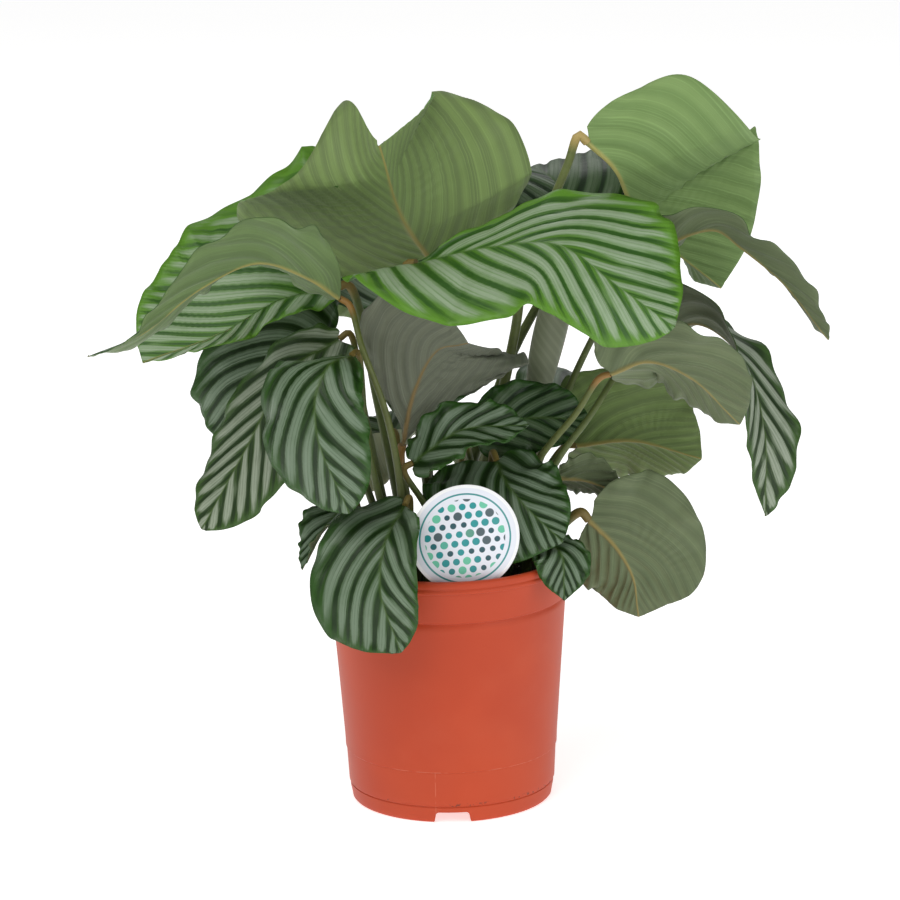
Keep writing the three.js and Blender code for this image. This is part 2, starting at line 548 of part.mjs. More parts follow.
// ---- soil ----
function soilHeight(x, y) {
  const mound = 3 * Math.exp(-((x * x + y * y) / 2600));
  const rough = 0.7 * Math.sin(x / 9 + 1) * Math.sin(y / 8) + 0.5 * Math.sin(x / 5 - y / 6);
  return SOIL_LEVEL + mound + rough;
}

function soilSolid() {
  const points = [new THREE.Vector3(0, 0, soilHeight(0, 0))];
  for (let i = 1; i <= SOIL_RINGS; i += 1) {
    for (let k = 0; k < SOIL_SIDES; k += 1) {
      const turn = (2 * Math.PI * k) / SOIL_SIDES;
      const r = ((innerRadius(SOIL_LEVEL) - GAP - 0.5) * i) / SOIL_RINGS;
      const [x, y] = [r * Math.cos(turn), r * Math.sin(turn)];
      points.push(new THREE.Vector3(x, y, soilHeight(x, y)));
    }
  }
  const rim = points.length;
  const low = innerRadius(FLOOR_HEIGHT) - GAP - 0.5;
  for (let k = 0; k < SOIL_SIDES; k += 1) {
    const turn = (2 * Math.PI * k) / SOIL_SIDES;
    const z = FLOOR_HEIGHT + GAP;
    points.push(new THREE.Vector3(low * Math.cos(turn), low * Math.sin(turn), z));
  }
  points.push(new THREE.Vector3(0, 0, FLOOR_HEIGHT + GAP));
  const faces = [];
  const at = (i, k) => 1 + (i - 1) * SOIL_SIDES + (k % SOIL_SIDES);
  for (let k = 0; k < SOIL_SIDES; k += 1) {
    faces.push([0, at(1, k), at(1, k + 1)]);
    for (let i = 1; i < SOIL_RINGS; i += 1) {
      faces.push([at(i, k), at(i + 1, k), at(i + 1, k + 1)]);
      faces.push([at(i, k), at(i + 1, k + 1), at(i, k + 1)]);
    }
    const [a, b] = [at(SOIL_RINGS, k), at(SOIL_RINGS, k + 1)];
    const [c, d] = [rim + k, rim + ((k + 1) % SOIL_SIDES)];
    faces.push([a, c, d], [a, d, b], [c, points.length - 1, d]);
  }
  let soil = toSolid(closedMesh(points, faces));
  [...LEAVES.map((leaf) => leaf.root), SPEAR_ROOT].forEach(([x, y]) => {
    const drill = new THREE.CylinderGeometry(HOLE_RADIUS, HOLE_RADIUS, 2 * ROOT_DEPTH, 8);
    drill.rotateX(Math.PI / 2);
    drill.translate(x, y, SOIL_LEVEL - GAP);
    soil = soil.subtract(toSolid(drill));
  });
  return soil.subtract(toSolid(labelGeometry(GAP)));
}

// ---- assembly ----
const plant = new THREE.Group();
plant.name = 'potted_calathea';

function add(name, geometry, look) {
  const [color, roughness] = COLOURS[look];
  const material = new THREE.MeshStandardMaterial({ color, roughness, metalness: 0 });
  material.name = look;
  const mesh = new THREE.Mesh(geometry, material);
  mesh.name = name;
  plant.add(mesh);
}

add('pot', toGeometry(potSolid()), 'pot');
add('soil', toGeometry(soilSolid()), 'soil');
add('label', labelGeometry(), 'label');
add('young_leaf', spearGeometry(), 'young');
LEAVES.forEach((leaf) => {
  add(leaf.name, bladeGeometry(leaf), leaf.look);
  add(leaf.name.replace('leaf', 'stem'), stemGeometry(leaf), leaf.stem);
});

export default plant;
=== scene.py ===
import math
import random

import bmesh
import bpy
import numpy as np
from mathutils import Matrix, Vector, noise


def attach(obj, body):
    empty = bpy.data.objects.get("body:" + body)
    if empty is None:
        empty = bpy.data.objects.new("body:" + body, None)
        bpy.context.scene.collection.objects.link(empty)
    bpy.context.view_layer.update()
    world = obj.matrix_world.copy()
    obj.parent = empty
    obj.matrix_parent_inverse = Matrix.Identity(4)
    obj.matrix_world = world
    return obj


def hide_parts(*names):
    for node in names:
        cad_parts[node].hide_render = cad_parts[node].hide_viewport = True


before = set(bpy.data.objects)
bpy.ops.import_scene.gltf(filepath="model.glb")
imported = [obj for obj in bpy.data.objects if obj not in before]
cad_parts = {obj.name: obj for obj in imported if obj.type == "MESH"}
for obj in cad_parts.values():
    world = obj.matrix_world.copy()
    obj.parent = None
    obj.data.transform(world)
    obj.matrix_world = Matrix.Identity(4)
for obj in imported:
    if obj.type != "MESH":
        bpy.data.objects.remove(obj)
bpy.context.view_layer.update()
mm = 0.001
print("calathea: frame loaded")

# Camera, floor and studio light. The camera looks down at the plant from the front.
studio = {
    "distance": 4.0, "height": 1.337, "aside": 0.0033, "pitch": 75.06, "roll": -1.11, "lens": 220.28,
    "middle": (0, 0, 0.28), "skyStrength": 0.32, "floorReach": 30,
    "floorColor": (0.93, 0.93, 0.93, 1), "floorGlow": 0.62,
}
lights = {
    "keyLight": {"spot": (-1.0, -1.3, 2.4), "size": (2.6, 2.6), "power": 46, "color": (1, 0.98, 0.95)},
    "fillLight": {"spot": (2.0, -1.8, 1.0), "size": (1.8, 1.8), "power": 20, "color": (0.97, 0.98, 1)},
    "backLight": {"spot": (0.3, 1.9, 1.7), "size": (2.2, 1.0), "power": 8, "color": (1, 1, 1)},
}


def toScene(name, data):
    holder = bpy.data.objects.new(name, data)
    bpy.context.scene.collection.objects.link(holder)
    return holder


def turnBy(degrees, axis):
    return Matrix.Rotation(math.radians(degrees), 4, axis)


def softLight(name, spot, size, power, color):
    lamp = bpy.data.lights.new(name, "AREA")
    lamp.shape = "RECTANGLE"
    lamp.size, lamp.size_y = size
    lamp.energy = power
    lamp.color = color
    aim = (Vector(studio["middle"]) - Vector(spot)).to_track_quat("-Z", "Y").to_matrix().to_4x4()
    toScene(name, lamp).matrix_world = Matrix.Translation(spot) @ aim


def setCamera():
    lensData = bpy.data.cameras.new("plantCamera")
    lensData.lens = studio["lens"]
    lensData.sensor_width = 36
    lensData.clip_end = 60
    camera = toScene("plantCamera", lensData)
    place = Matrix.Translation((studio["aside"], -studio["distance"], studio["height"]))
    camera.matrix_world = place @ turnBy(studio["pitch"], "X") @ turnBy(studio["roll"], "Z")
    bpy.context.scene.camera = camera
    bpy.context.scene.view_settings.view_transform = "Standard"


def setSky():
    sky = bpy.data.worlds.new("studioSky")
    sky.use_nodes = True
    glow = sky.node_tree.nodes["Background"].inputs
    glow["Color"].default_value = (1, 1, 1, 1)
    glow["Strength"].default_value = studio["skyStrength"]
    bpy.context.scene.world = sky


def layFloor():
    mesh = bpy.data.meshes.new("studioFloor")
    far = studio["floorReach"]
    mesh.from_pydata([(-far, -far, 0), (far, -far, 0), (far, far, 0), (-far, far, 0)], [], [(0, 1, 2, 3)])
    paper = bpy.data.materials.new("floorPaper")
    paper.use_nodes = True
    shader = paper.node_tree.nodes["Principled BSDF"].inputs
    shader["Base Color"].default_value = studio["floorColor"]
    shader["Roughness"].default_value = 0.9
    shader["Emission Color"].default_value = (1, 1, 1, 1)
    shader["Emission Strength"].default_value = studio["floorGlow"]
    mesh.materials.append(paper)
    toScene("studioFloor", mesh)


setCamera()
for name, lamp in lights.items():
    softLight(name, **lamp)
setSky()
layFloor()
print("calathea: camera, floor and lights")


# Short words for writing a node tree as a formula. Values may be numbers, tuples or sockets.
class NodeSheet:
    def __init__(self, tree):
        self.tree = tree

    def link(self, value, socket):
        if isinstance(value, bpy.types.NodeSocket):
            self.tree.links.new(value, socket)
        elif isinstance(value, tuple) and socket.type == "RGBA" and len(value) == 3:
            socket.default_value = (*value, 1)
        else:
            socket.default_value = value

    def node(self, kind, values, **settings):
        made = self.tree.nodes.new(kind)
        for name, value in settings.items():
            setattr(made, name, value)
        for name, value in values.items():
            self.link(value, made.inputs[name])
        return made.outputs

    def math(self, operation, a, b=0.0):
        return self.node("ShaderNodeMath", {0: a, 1: b}, operation=operation)[0]

    def times(self, value, *factors):
        for factor in factors:
            value = self.math("MULTIPLY", value, factor)
        return value

    def plus(self, a, b):
        return self.math("ADD", a, b)

    def minus(self, a, b):
        return self.math("SUBTRACT", a, b)

    def over(self, a, b):
        return self.math("DIVIDE", a, b)

    # a noise or chance from 0 to 1, turned into a push to either side
    def sway(self, value, strength):
        return self.times(self.minus(value, 0.5), strength)


class Finish(NodeSheet):
    def __init__(self, name):
        self.material = bpy.data.materials.new(name)
        self.material.use_nodes = True
        self.shader = self.material.node_tree.nodes["Principled BSDF"].inputs
        super().__init__(self.material.node_tree)

    def ramp(self, value, low, high, toLow=0.0, toHigh=1.0):
        return self.node("ShaderNodeMapRange", {
            "Value": value, "From Min": low, "From Max": high, "To Min": toLow, "To Max": toHigh,
        }, interpolation_type="SMOOTHSTEP")["Result"]

    # the colour sockets are the third pair of this node
    def mix(self, share, a, b):
        return self.node("ShaderNodeMix", {"Factor": share, 6: a, 7: b}, data_type="RGBA")[2]

    def attribute(self, name):
        return self.node("ShaderNodeAttribute", {}, attribute_name=name)["Fac"]

    def coordinates(self):
        return self.node("ShaderNodeTexCoord", {})["Object"]

    def noise(self, scale, detail=3.0, vector=None):
        vector = vector or self.coordinates()
        return self.node("ShaderNodeTexNoise", {"Scale": scale, "Detail": detail, "Vector": vector})["Fac"]

    def patches(self, scale, detail, low, high):
        return self.ramp(self.noise(scale, detail), low, high)

    def combine(self, x, y, z=0.0):
        return self.node("ShaderNodeCombineXYZ", {0: x, 1: y, 2: z})[0]

    # noise drawn out along the side veins of a blade
    def streaks(self, detail, outward, around):
        place = self.combine(self.times(self.attribute("across"), outward),
                             self.times(self.attribute("band"), around))
        return self.noise(1.0, detail, place)

    def bump(self, height, strength, distance):
        normal = self.node("ShaderNodeBump", {"Strength": strength, "Distance": distance, "Height": height})
        self.link(normal[0], self.shader["Normal"])

    def finish(self, color, roughness, **constants):
        self.link(color, self.shader["Base Color"])
        self.link(roughness, self.shader["Roughness"])
        for name, value in constants.items():
            self.shader[name.replace("_", " ")].default_value = value
        return self.material


# Upper side: silver bands taper from the midrib to the margin, with dark veins between them
# and hair-fine veins inside them. A plain green margin goes round.
# The looks are copies of one finish at other brightness: "lit" is painted light for the leaves in full light,
# "deep" and, darker still, "shade" are painted shade for the leaves the light reaches less, and "hoar" has
# brighter silver bands.
upperLooks = {
    "lit": {"ground": (0.068, 0.175, 0.018), "vein": (0.020, 0.078, 0.008), "silver": (0.26, 0.35, 0.22),
            "margin": (0.095, 0.240, 0.018), "rib": (0.075, 0.17, 0.03), "gloss": 0.36, "cover": 0.95},
    "deep": {"ground": (0.020, 0.056, 0.008), "vein": (0.005, 0.021, 0.002), "silver": (0.160, 0.222, 0.150),
             "margin": (0.024, 0.078, 0.010), "rib": (0.050, 0.100, 0.018), "gloss": 0.34, "cover": 0.88},
    "hoar": {"ground": (0.034, 0.072, 0.016), "vein": (0.010, 0.028, 0.005), "silver": (0.300, 0.350, 0.265),
             "margin": (0.040, 0.095, 0.016), "rib": (0.060, 0.110, 0.022), "gloss": 0.38, "cover": 0.90},
    "shade": {"ground": (0.014, 0.048, 0.006), "vein": (0.004, 0.018, 0.002), "silver": (0.085, 0.130, 0.068),
              "margin": (0.020, 0.070, 0.008), "rib": (0.040, 0.085, 0.014), "gloss": 0.34, "cover": 0.80},
}


def upperMaterial(look):
    tones = upperLooks[look]
    sheet = Finish("leafUpper_" + look)
    across, band = sheet.attribute("across"), sheet.attribute("band")
    streaks, slow = sheet.streaks(3.0, 2.0, 7.0), sheet.streaks(1.0, 1.5, 0.9)
    mottle = sheet.noise(70.0, 4.0)
    turn = sheet.times(band, 2 * math.pi)
    wave = sheet.plus(sheet.math("COSINE", turn), sheet.sway(streaks, 1.9))
    wave = sheet.plus(wave, sheet.sway(slow, 1.0))
    # the bands open out a little way from the midrib and close towards the margin
    opening = sheet.ramp(across, 0.02, 0.35, 0.10, -0.55)
    closing = sheet.ramp(across, 0.60, 0.98, 0.0, 1.15)
    silver = sheet.minus(sheet.minus(wave, opening), closing)
    silver = sheet.ramp(silver, -0.35, 0.85, 0.0, tones["cover"])
    inside = sheet.plus(across, sheet.sway(mottle, 0.10))
    fine = sheet.ramp(sheet.math("COSINE", sheet.times(turn, 5.0)), 0.35, 0.98)
    fine = sheet.times(fine, sheet.ramp(streaks, 0.38, 0.62, 0.15, 0.85), 0.62)
    silver = sheet.times(silver, sheet.ramp(inside, 0.97, 0.86), sheet.minus(1.0, fine))
    vein = sheet.times(sheet.ramp(wave, -0.35, -0.95), sheet.ramp(across, 1.0, 0.80, 0.15, 0.9))
    color = sheet.mix(sheet.ramp(inside, 0.72, 0.98), tones["ground"], tones["margin"])
    color = sheet.mix(vein, color, tones["vein"])
    color = sheet.mix(silver, color, tones["silver"])
    color = sheet.mix(sheet.ramp(mottle, 0.45, 0.8, 0.0, 0.22), color, tones["ground"])
    color = sheet.mix(sheet.times(sheet.attribute("rib"), 0.7), color, tones["rib"])
    roughness = sheet.ramp(streaks, 0.3, 0.7, tones["gloss"] - 0.05, tones["gloss"] + 0.09)
    grain = sheet.plus(streaks, sheet.times(sheet.noise(800.0, 2.0), 0.4))
    relief = sheet.plus(sheet.times(sheet.math("COSINE", sheet.times(turn, 4.0)), 0.35), grain)
    sheet.bump(relief, 0.45, 0.0006)
    return sheet.finish(color, roughness, Specular_IOR_Level=0.26, Coat_Weight=0.05, Coat_Roughness=0.30)


# Underside: matt, with the veins as soft stripes and a raised yellow or brown midrib.
# Each look is a copy of one finish, picked leaf by leaf for tone and for light: "mid" is painted lighter than
# the leaf's own tone to stand in for light on the underside, and "glow" is painted light shining through the
# blade.
underLooks = {
    "mid": {"ground": (0.172, 0.262, 0.074), "vein": (0.112, 0.166, 0.054), "rib": (0.28, 0.25, 0.065)},
    "pale": {"ground": (0.195, 0.305, 0.100), "vein": (0.140, 0.235, 0.070), "rib": (0.36, 0.34, 0.10)},
    "moss": {"ground": (0.118, 0.190, 0.058), "vein": (0.082, 0.130, 0.044), "rib": (0.28, 0.25, 0.065)},
    "grey": {"ground": (0.122, 0.160, 0.074), "vein": (0.088, 0.118, 0.054), "rib": (0.24, 0.20, 0.06)},
    "ash": {"ground": (0.145, 0.162, 0.108), "vein": (0.108, 0.122, 0.084), "rib": (0.20, 0.14, 0.05)},
    "glow": {"ground": (0.060, 0.150, 0.022), "vein": (0.040, 0.105, 0.015), "rib": (0.14, 0.20, 0.05)},
}


def underMaterial(look):
    tones = underLooks[look]
    sheet = Finish("leafUnder_" + look)
    streaks, lines = sheet.streaks(4.0, 1.3, 9.0), sheet.streaks(2.0, 2.0, 34.0)
    mottle = sheet.noise(45.0, 4.0)
    wave = sheet.math("COSINE", sheet.times(sheet.attribute("band"), 2 * math.pi))
    wave = sheet.plus(wave, sheet.sway(streaks, 3.0))
    color = sheet.mix(sheet.ramp(wave, -1.2, 1.3, 0.80, 0.05), tones["ground"], tones["vein"])
    lighter = tuple(min(1, 1.35 * tone + 0.01) for tone in tones["ground"])
    color = sheet.mix(sheet.ramp(streaks, 0.50, 0.72, 0.0, 0.55), color, lighter)
    color = sheet.mix(sheet.ramp(lines, 0.50, 0.68, 0.0, 0.45), color, tones["vein"])
    color = sheet.mix(sheet.ramp(mottle, 0.4, 0.8, 0.0, 0.25), color, tones["vein"])
    color = sheet.mix(sheet.attribute("rib"), color, tones["rib"])
    sheet.bump(sheet.plus(streaks, sheet.times(lines, 0.6)), 0.35, 0.0007)
    return sheet.finish(color, sheet.ramp(mottle, 0.3, 0.7, 0.52, 0.66), Specular_IOR_Level=0.35,
                        Sheen_Weight=0.12)


upperFinish = {look: upperMaterial(look) for look in upperLooks}
underFinish = {look: underMaterial(look) for look in underLooks}
print("calathea: leaf finishes")


# Curves through the midrib's points, as the solids have them.
def smoothCurve(points, samples=60):
    spots = [np.array(p, float) for p in points]
    ends = [2 * spots[0] - spots[1]] + spots + [2 * spots[-1] - spots[-2]]
    path = []
    for k in range(len(spots) - 1):
        a, b, c, d = ends[k:k + 4]
        first, middle, last = (np.sum((q - p) ** 2) ** 0.25 for p, q in ((a, b), (b, c), (c, d)))
        tangentB = ((b - a) / first - (c - a) / (first + middle) + (c - b) / middle) * middle
        tangentC = ((c - b) / middle - (d - b) / (middle + last) + (d - c) / last) * middle
        for s in np.linspace(0, 1, samples, endpoint=k == len(spots) - 2):
            path.append(b + tangentB * s + (3 * (c - b) - 2 * tangentB - tangentC) * s ** 2
                        + (2 * (b - c) + tangentB + tangentC) * s ** 3)
    path = np.array(path)
    travelled = np.concatenate([[0], np.cumsum(np.linalg.norm(np.diff(path, axis=0), axis=1))])
    return path, travelled


# The spot at a distance along a curve and the way ahead there. Past its ends it goes on straight.
def alongCurve(curve, distance):
    path, travelled = curve
    at = lambda far: np.stack([np.interp(far, travelled, path[:, k]) for k in range(3)], -1)
    held = np.clip(distance, 0, travelled[-1])
    step = travelled[-1] * 0.004
    ahead = at(np.clip(held + step, None, travelled[-1])) - at(np.clip(held - step, 0, None))
    ahead /= np.linalg.norm(ahead, axis=-1, keepdims=True)
    return at(held) + ahead * (distance - held)[..., None], ahead


def blendList(values, share):
    values = np.array(values, float)
    spot = np.clip(share, 0, 1) * (len(values) - 1)
    low = np.minimum(spot.astype(int), len(values) - 2)
    part = spot - low
    if values.ndim > 1:
        part = part[..., None]
    return values[low] * (1 - part) + values[low + 1] * part


# Every blade has its rib, the way its upper side faces, the widths of its halves, folds and
# waves, and its stem has its root in the soil and the bends on its way up. What a leaf does not
# say is as in plainLeaf. Millimetres and degrees.
plainLeaf = {"upper": "deep", "under": "grey", "stem": "green", "fold": ([5, 5], [5, 5]), "curl": (0, 0),
             "lobe": (6, 6), "skew": (0.9, 0.9), "taper": (0.8, 0.8), "wave": (3, 3, 0)}
leaves = [
    dict(name="top", upper="lit", under="mid", stem="bronze", root=(-12, 10), via=[(-14, 36, 300)],
         rib=[(-9, 40, 408), (-30, 0, 451), (-43, -44, 509)], face=[(-0.15, 0.9, 0.4), (0.05, 0.8, 0.6)],
         half=(109, 134), fold=([5, 5, 37, 67, 52], [13, 12, 8, 2, -11, -6]), curl=(5, 26), lobe=(14, 15),
         skew=(1, 0.85), taper=(1, 1.31), wave=(3, 2.5, 0.5), bands=9, ruffle=1.2, crest=(1, 0.88, 0.07, 58)),
    dict(name="back_left", upper="lit", under="mid", root=(-30, 18), via=[(-50, 56, 290)],
         rib=[(-80, 59, 383), (-122, 53, 376), (-172, 47, 350), (-221, 40, 334)],
         face=[(-0.1, -0.65, 0.75), (-0.3, -0.7, 0.65)], half=(16, 122),
         fold=([-10, -80, -110], [8, -6, 0, 2, 6]), curl=(0, 3), lobe=(4, 24), skew=(0.9, 0.42),
         taper=(0.8, 0.54), wave=(4, 3, 1), bands=8, ruffle=2.6),
    dict(name="left", under="moss", stem="bronze", root=(-31, -47),
         via=[(-35, -54, 265), (-44, -62, 317), (-60, -64, 366)],
         rib=[(-76, -48, 400), (-98, -54, 417), (-135, -60, 431), (-177, -75, 416),
              (-222, -80, 383), (-255, -80, 370)], face=[(0, 0.35, 0.93), (-0.4, 0.5, 0.75)], half=(62, 56),
         fold=([19, 17, 15, -4, -34], [10, 10]), curl=(5, 5), lobe=(-30, 4), skew=(0.53, 0.8),
         taper=(1.5, 0.8), bands=7, ruffle=2.6),
    dict(name="front", upper="lit", under="glow", root=(-6, -20), via=[(-20, -14, 300)],
         rib=[(-19, -21, 419), (33, -55, 438), (86, -75, 443), (126, -83, 415), (164, -84, 386)],
         face=[(-0.35, -0.55, 0.75), (0.3, -0.55, 0.75)], half=(84, 80),
         fold=([8, -20, -16, 2, 12], [52, 6, 6, -4, -50]), curl=(-4, -8), lobe=(-14, 25), skew=(1.41, 0.5),
         taper=(0.98, 0.69), wave=(4, 3, 0.6), bands=9, ruffle=2.4),
    dict(name="centre", under="ash", stem="bronze", root=(-24, -36), via=[(-30, -32, 240)],
         rib=[(-32, -30, 283), (-22, -36, 326), (-4, -46, 359), (12, -52, 364)],
         face=[(-0.1, 0.95, 0.3), (-0.1, 0.7, 0.7)], half=(110, 62), fold=([12, 18, 18, 14, 18], [10, 24]),
         curl=(16, 10), lobe=(-31, -18), skew=(1.9, 2.1), taper=(0.5, 0.7), bands=7, ruffle=2.6),
    dict(name="inner_left", root=(-38, -34), via=[(-58, -50, 290)],
         rib=[(-68, -62, 360), (-84, -90, 360), (-94, -105, 341), (-93, -115, 310), (-74, -115, 260)],
         face=[(-0.1, -0.3, 0.9), (-0.35, -0.9, 0.2), (-0.1, -0.95, 0)], half=(38, 58),
         fold=([-5, -5], [-10, -20]), curl=(-20, -20), lobe=(-6, 8), skew=(1.1, 0.9), wave=(4, 3, 0),
         bands=6, ruffle=2.4),
    dict(name="outer_left", upper="hoar", root=(-40, 2), via=[(-60, -4, 300)],
         rib=[(-78, -8, 359), (-115, -21, 339), (-150, -34, 281), (-180, -40, 229)],
         face=[(-0.3, -0.7, 0.6), (-0.3, -0.85, 0.35)], half=(45, 37), fold=([0, 0], [-10, -10]),
         curl=(-10, -20), lobe=(8, 8), wave=(4, 3, 2), bands=8, ruffle=3.2),
    dict(name="far_left", root=(-46, 26), via=[(-72, 42, 270)],
         rib=[(-90, 58, 326), (-124, 78, 318), (-154, 88, 288), (-165, 94, 254)],
         face=[(-0.3, -0.7, 0.6), (-0.5, -0.7, 0.4)], half=(44, 63), curl=(-10, -5), lobe=(8, 8),
         skew=(0.9, 0.75), taper=(0.8, 0.6), wave=(4, 3, 0), bands=6, ruffle=3.0),
    dict(name="rim_front", root=(-16, -52), via=[(-26, -58, 215)],
         rib=[(-31, -69, 246), (-46, -102, 227), (-50, -115, 194), (-38, -118, 154)],
         face=[(-0.1, -0.5, 0.85), (-0.15, -0.9, 0.4), (0, -0.98, 0)], half=(33, 56),
         fold=([28, 16, 8], [0, -5, -5]), curl=(20, -20), lobe=(-12, 12), skew=(0.9, 1.2), wave=(4, 3, 0),
         bands=6, ruffle=2.4),
    dict(name="rim_left", root=(-48, -26), via=[(-62, -28, 215)],
         rib=[(-76, -30, 236), (-93, -40, 221), (-106, -46, 198)],
         face=[(-0.3, -0.2, 0.9), (-0.8, -0.2, 0.5)], half=(22, 22), fold=([20, 20], [20, 20]),
         curl=(10, 10), lobe=(2, 2), wave=(2, 2, 0), bands=4, ruffle=1.2),
    dict(name="label", root=(28, -18), via=[(32, -18, 230)],
         rib=[(38, -24, 267), (44, -40, 256), (58, -53, 240), (81, -63, 219)],
         face=[(0, -0.7, 0.7), (0.1, -0.8, 0.55)], half=(40, 62), fold=([0, 0], [0, -10]), curl=(-10, -10),
         lobe=(8, 14), skew=(0.9, 0.75), bands=5, ruffle=1.8),
    dict(name="rim_right", root=(58, -30), via=[(68, -37, 202)],
         rib=[(76, -50, 211), (85, -65, 204), (86, -77, 180)], face=[(0.1, -0.5, 0.85), (0.2, -0.95, 0.1)],
         half=(22, 22), fold=([0, 0], [0, 0]), curl=(-10, -10), lobe=(4, 4), wave=(2, 2, 0), bands=4,
         ruffle=1.4),
    dict(name="heart_low", root=(-3, -35), via=[(-15, -42, 236)],
         rib=[(-24, -50, 274), (12, -57, 300), (55, -65, 305)], face=[(0, -0.6, 0.8), (0.1, -0.6, 0.8)],
         half=(24, 28), fold=([10, 10], [10, 10]), curl=(10, 10), lobe=(4, 4), bands=5, ruffle=2.2),
    dict(name="heart", upper="shade", root=(18, 14), via=[(22, 9, 240)],
         rib=[(26, 2, 281), (62, 4, 292), (103, 6, 290)], face=[(0, -0.85, 0.5), (0.1, -0.85, 0.5)],
         half=(30, 28), fold=([0, 0], [0, 0]), curl=(10, 10), wave=(4, 3, 0), bands=5, ruffle=2.2),
    dict(name="top_right", upper="lit", under="pale", stem="cream", root=(18, 32),
         via=[(54, 56, 345), (62, 44, 394), (95, 22, 482)],
         rib=[(110, 20, 499), (130, 25, 478), (149, 45, 434), (206, 60, 381)],
         face=[(0.55, 0.5, 0.65), (0.65, 0.6, 0.4)], half=(74, 112),
         fold=([58, 56, 55, 50, 12], [64, 50, 60, 47, 40]), curl=(0, 5), lobe=(-10, 15), skew=(0.9, 1.03),
         taper=(0.8, 1.05), bands=9, ruffle=1.6),
    dict(name="right_arch", root=(46, 14), via=[(82, 46, 275), (112, 34, 345)],
         rib=[(150, 4, 410), (177, -3, 430), (204, -8, 437), (223, -13, 424), (254, -22, 398),
              (282, -28, 362)], face=[(0.1, 0.3, 0.93), (0.5, 0.35, 0.75)], half=(36, 30),
         fold=([20, 10], [28, 20]), lobe=(4, 4), wave=(2, 3, 0), bands=6, ruffle=2.0),
    dict(name="right_hanging", upper="hoar", root=(46, -12), via=[(84, -12, 264), (107, -8, 294)],
         rib=[(146, 20, 336), (190, 26, 358), (224, 16, 334), (240, 2, 280), (240, -6, 222)],
         face=[(0.1, 0.7, 0.6), (0.6, -0.2, 0.7), (0.6, -0.8, 0.1)], half=(43, 54),
         fold=([8, 10, 2, 16, 22], [18, 16, 12, 6, 4]), curl=(2, 2), lobe=(5, 2), skew=(0.64, 0.56),
         taper=(0.82, 1.4), bands=8, ruffle=3.2),
    dict(name="right", stem="bronze", root=(44, -24), via=[(66, -14, 258), (98, -28, 304)],
         rib=[(124, -38, 336), (152, -46, 347), (184, -50, 334), (214, -48, 303)],
         face=[(0.2, 0.6, 0.75), (0.4, 0.75, 0.5)], half=(42, 48), fold=([10, 10], [20, 10]), bands=6,
         ruffle=1.8),
    dict(name="right_back", under="mid", root=(38, 30), via=[(66, 44, 225)],
         rib=[(100, 54, 257), (143, 50, 261), (188, 46, 249)], face=[(0.1, 0.6, 0.8), (0.2, 0.7, 0.7)],
         half=(52, 60), fold=([-10, -5], [46, 36]), lobe=(12, 24), bands=7, ruffle=1.8),
    dict(name="right_low", root=(58, 4), via=[(84, -4, 208)],
         rib=[(107, -8, 215), (127, -6, 193), (140, -2, 167), (143, 0, 143)],
         face=[(0.05, 1, 0.05), (0.1, 0.98, 0.05)], half=(38, 66), lobe=(-4, 14), skew=(0.95, 0.9), bands=7,
         ruffle=1.6),
    dict(name="right_small", root=(60, -14), via=[(74, 4, 218)],
         rib=[(86, 12, 243), (104, 12, 241), (128, 12, 232)], face=[(0, 0.7, 0.7), (0.1, 0.75, 0.65)],
         half=(24, 24), fold=([10, 10], [20, 20]), lobe=(3, 3), wave=(2, 2, 0), bands=4, ruffle=1.2),
    dict(name="back_top", upper="shade", under="mid", root=(2, 44), via=[(50, 74, 320)],
         rib=[(100, 80, 426), (88, 110, 450), (68, 150, 454), (50, 196, 428)],
         face=[(0.1, -0.5, 0.85), (0, 0.1, 1)], half=(70, 70), lobe=(10, 10), bands=6, ruffle=2.0),
    dict(name="back", under="mid", root=(-12, 38), via=[(-18, 78, 290)],
         rib=[(-24, 104, 364), (-36, 138, 384), (-50, 180, 370), (-58, 214, 324)],
         face=[(0, -0.3, 0.95), (-0.1, 0.6, 0.7)], half=(78, 80), curl=(-10, -10), lobe=(12, 12),
         wave=(4, 3, 0), bands=7, ruffle=2.4),
    dict(name="back_right", under="mid", root=(24, 50), via=[(60, 88, 235)],
         rib=[(84, 108, 280), (110, 138, 290), (146, 164, 264), (164, 176, 216)],
         face=[(0.1, 0.1, 0.95), (0.5, 0.6, 0.4)], half=(62, 62), curl=(-10, -10), lobe=(8, 8),
         wave=(4, 3, 0), bands=6, ruffle=2.4),
    dict(name="back_low", root=(-28, 46), via=[(-36, 74, 220)],
         rib=[(-42, 92, 262), (-56, 120, 266), (-72, 146, 236), (-80, 156, 192)],
         face=[(-0.1, 0.1, 0.95), (-0.3, 0.8, 0.4)], half=(54, 54), curl=(-10, -10), wave=(4, 3, 0),
         bands=6, ruffle=2.2),
    dict(name="back_mid", root=(10, 54), via=[(11, 74, 220)],
         rib=[(16, 92, 250), (26, 122, 262), (36, 154, 238), (40, 168, 196)],
         face=[(0, 0.1, 0.95), (0.2, 0.8, 0.4)], half=(48, 48), curl=(-10, -10), wave=(3, 3, 1), bands=6,
         ruffle=2.2),
]
leaves = [{**plainLeaf, **leaf} for leaf in leaves]
blade = {"rows": 132, "halfColumns": 22, "smallRows": 100, "smallHalfColumns": 17, "wideLeaf": 65,
         "thick": 0.45, "sink": 0.15, "groove": 0.35, "grooveWidth": 0.9, "pleat": 1.15, "smallPleat": 0.92,
         "ribRadius": 2.1, "ribHeight": 0.75, "tipLength": 7, "firstRow": 0.03, "lastRow": 0.985,
         "veinShape": (0.95, 1.60, 1.50), "ruffles": ((1, 6.5, 2.3, 2.7), (0.6, 11, 1.1, 1))}


def crestRise(leaf, side, t, out):
    if "crest" not in leaf:
        return 0
    half, where, width, height = leaf["crest"]
    return np.where(side == half, height * out ** 3 * np.exp(-((t - where) / width) ** 2), 0)


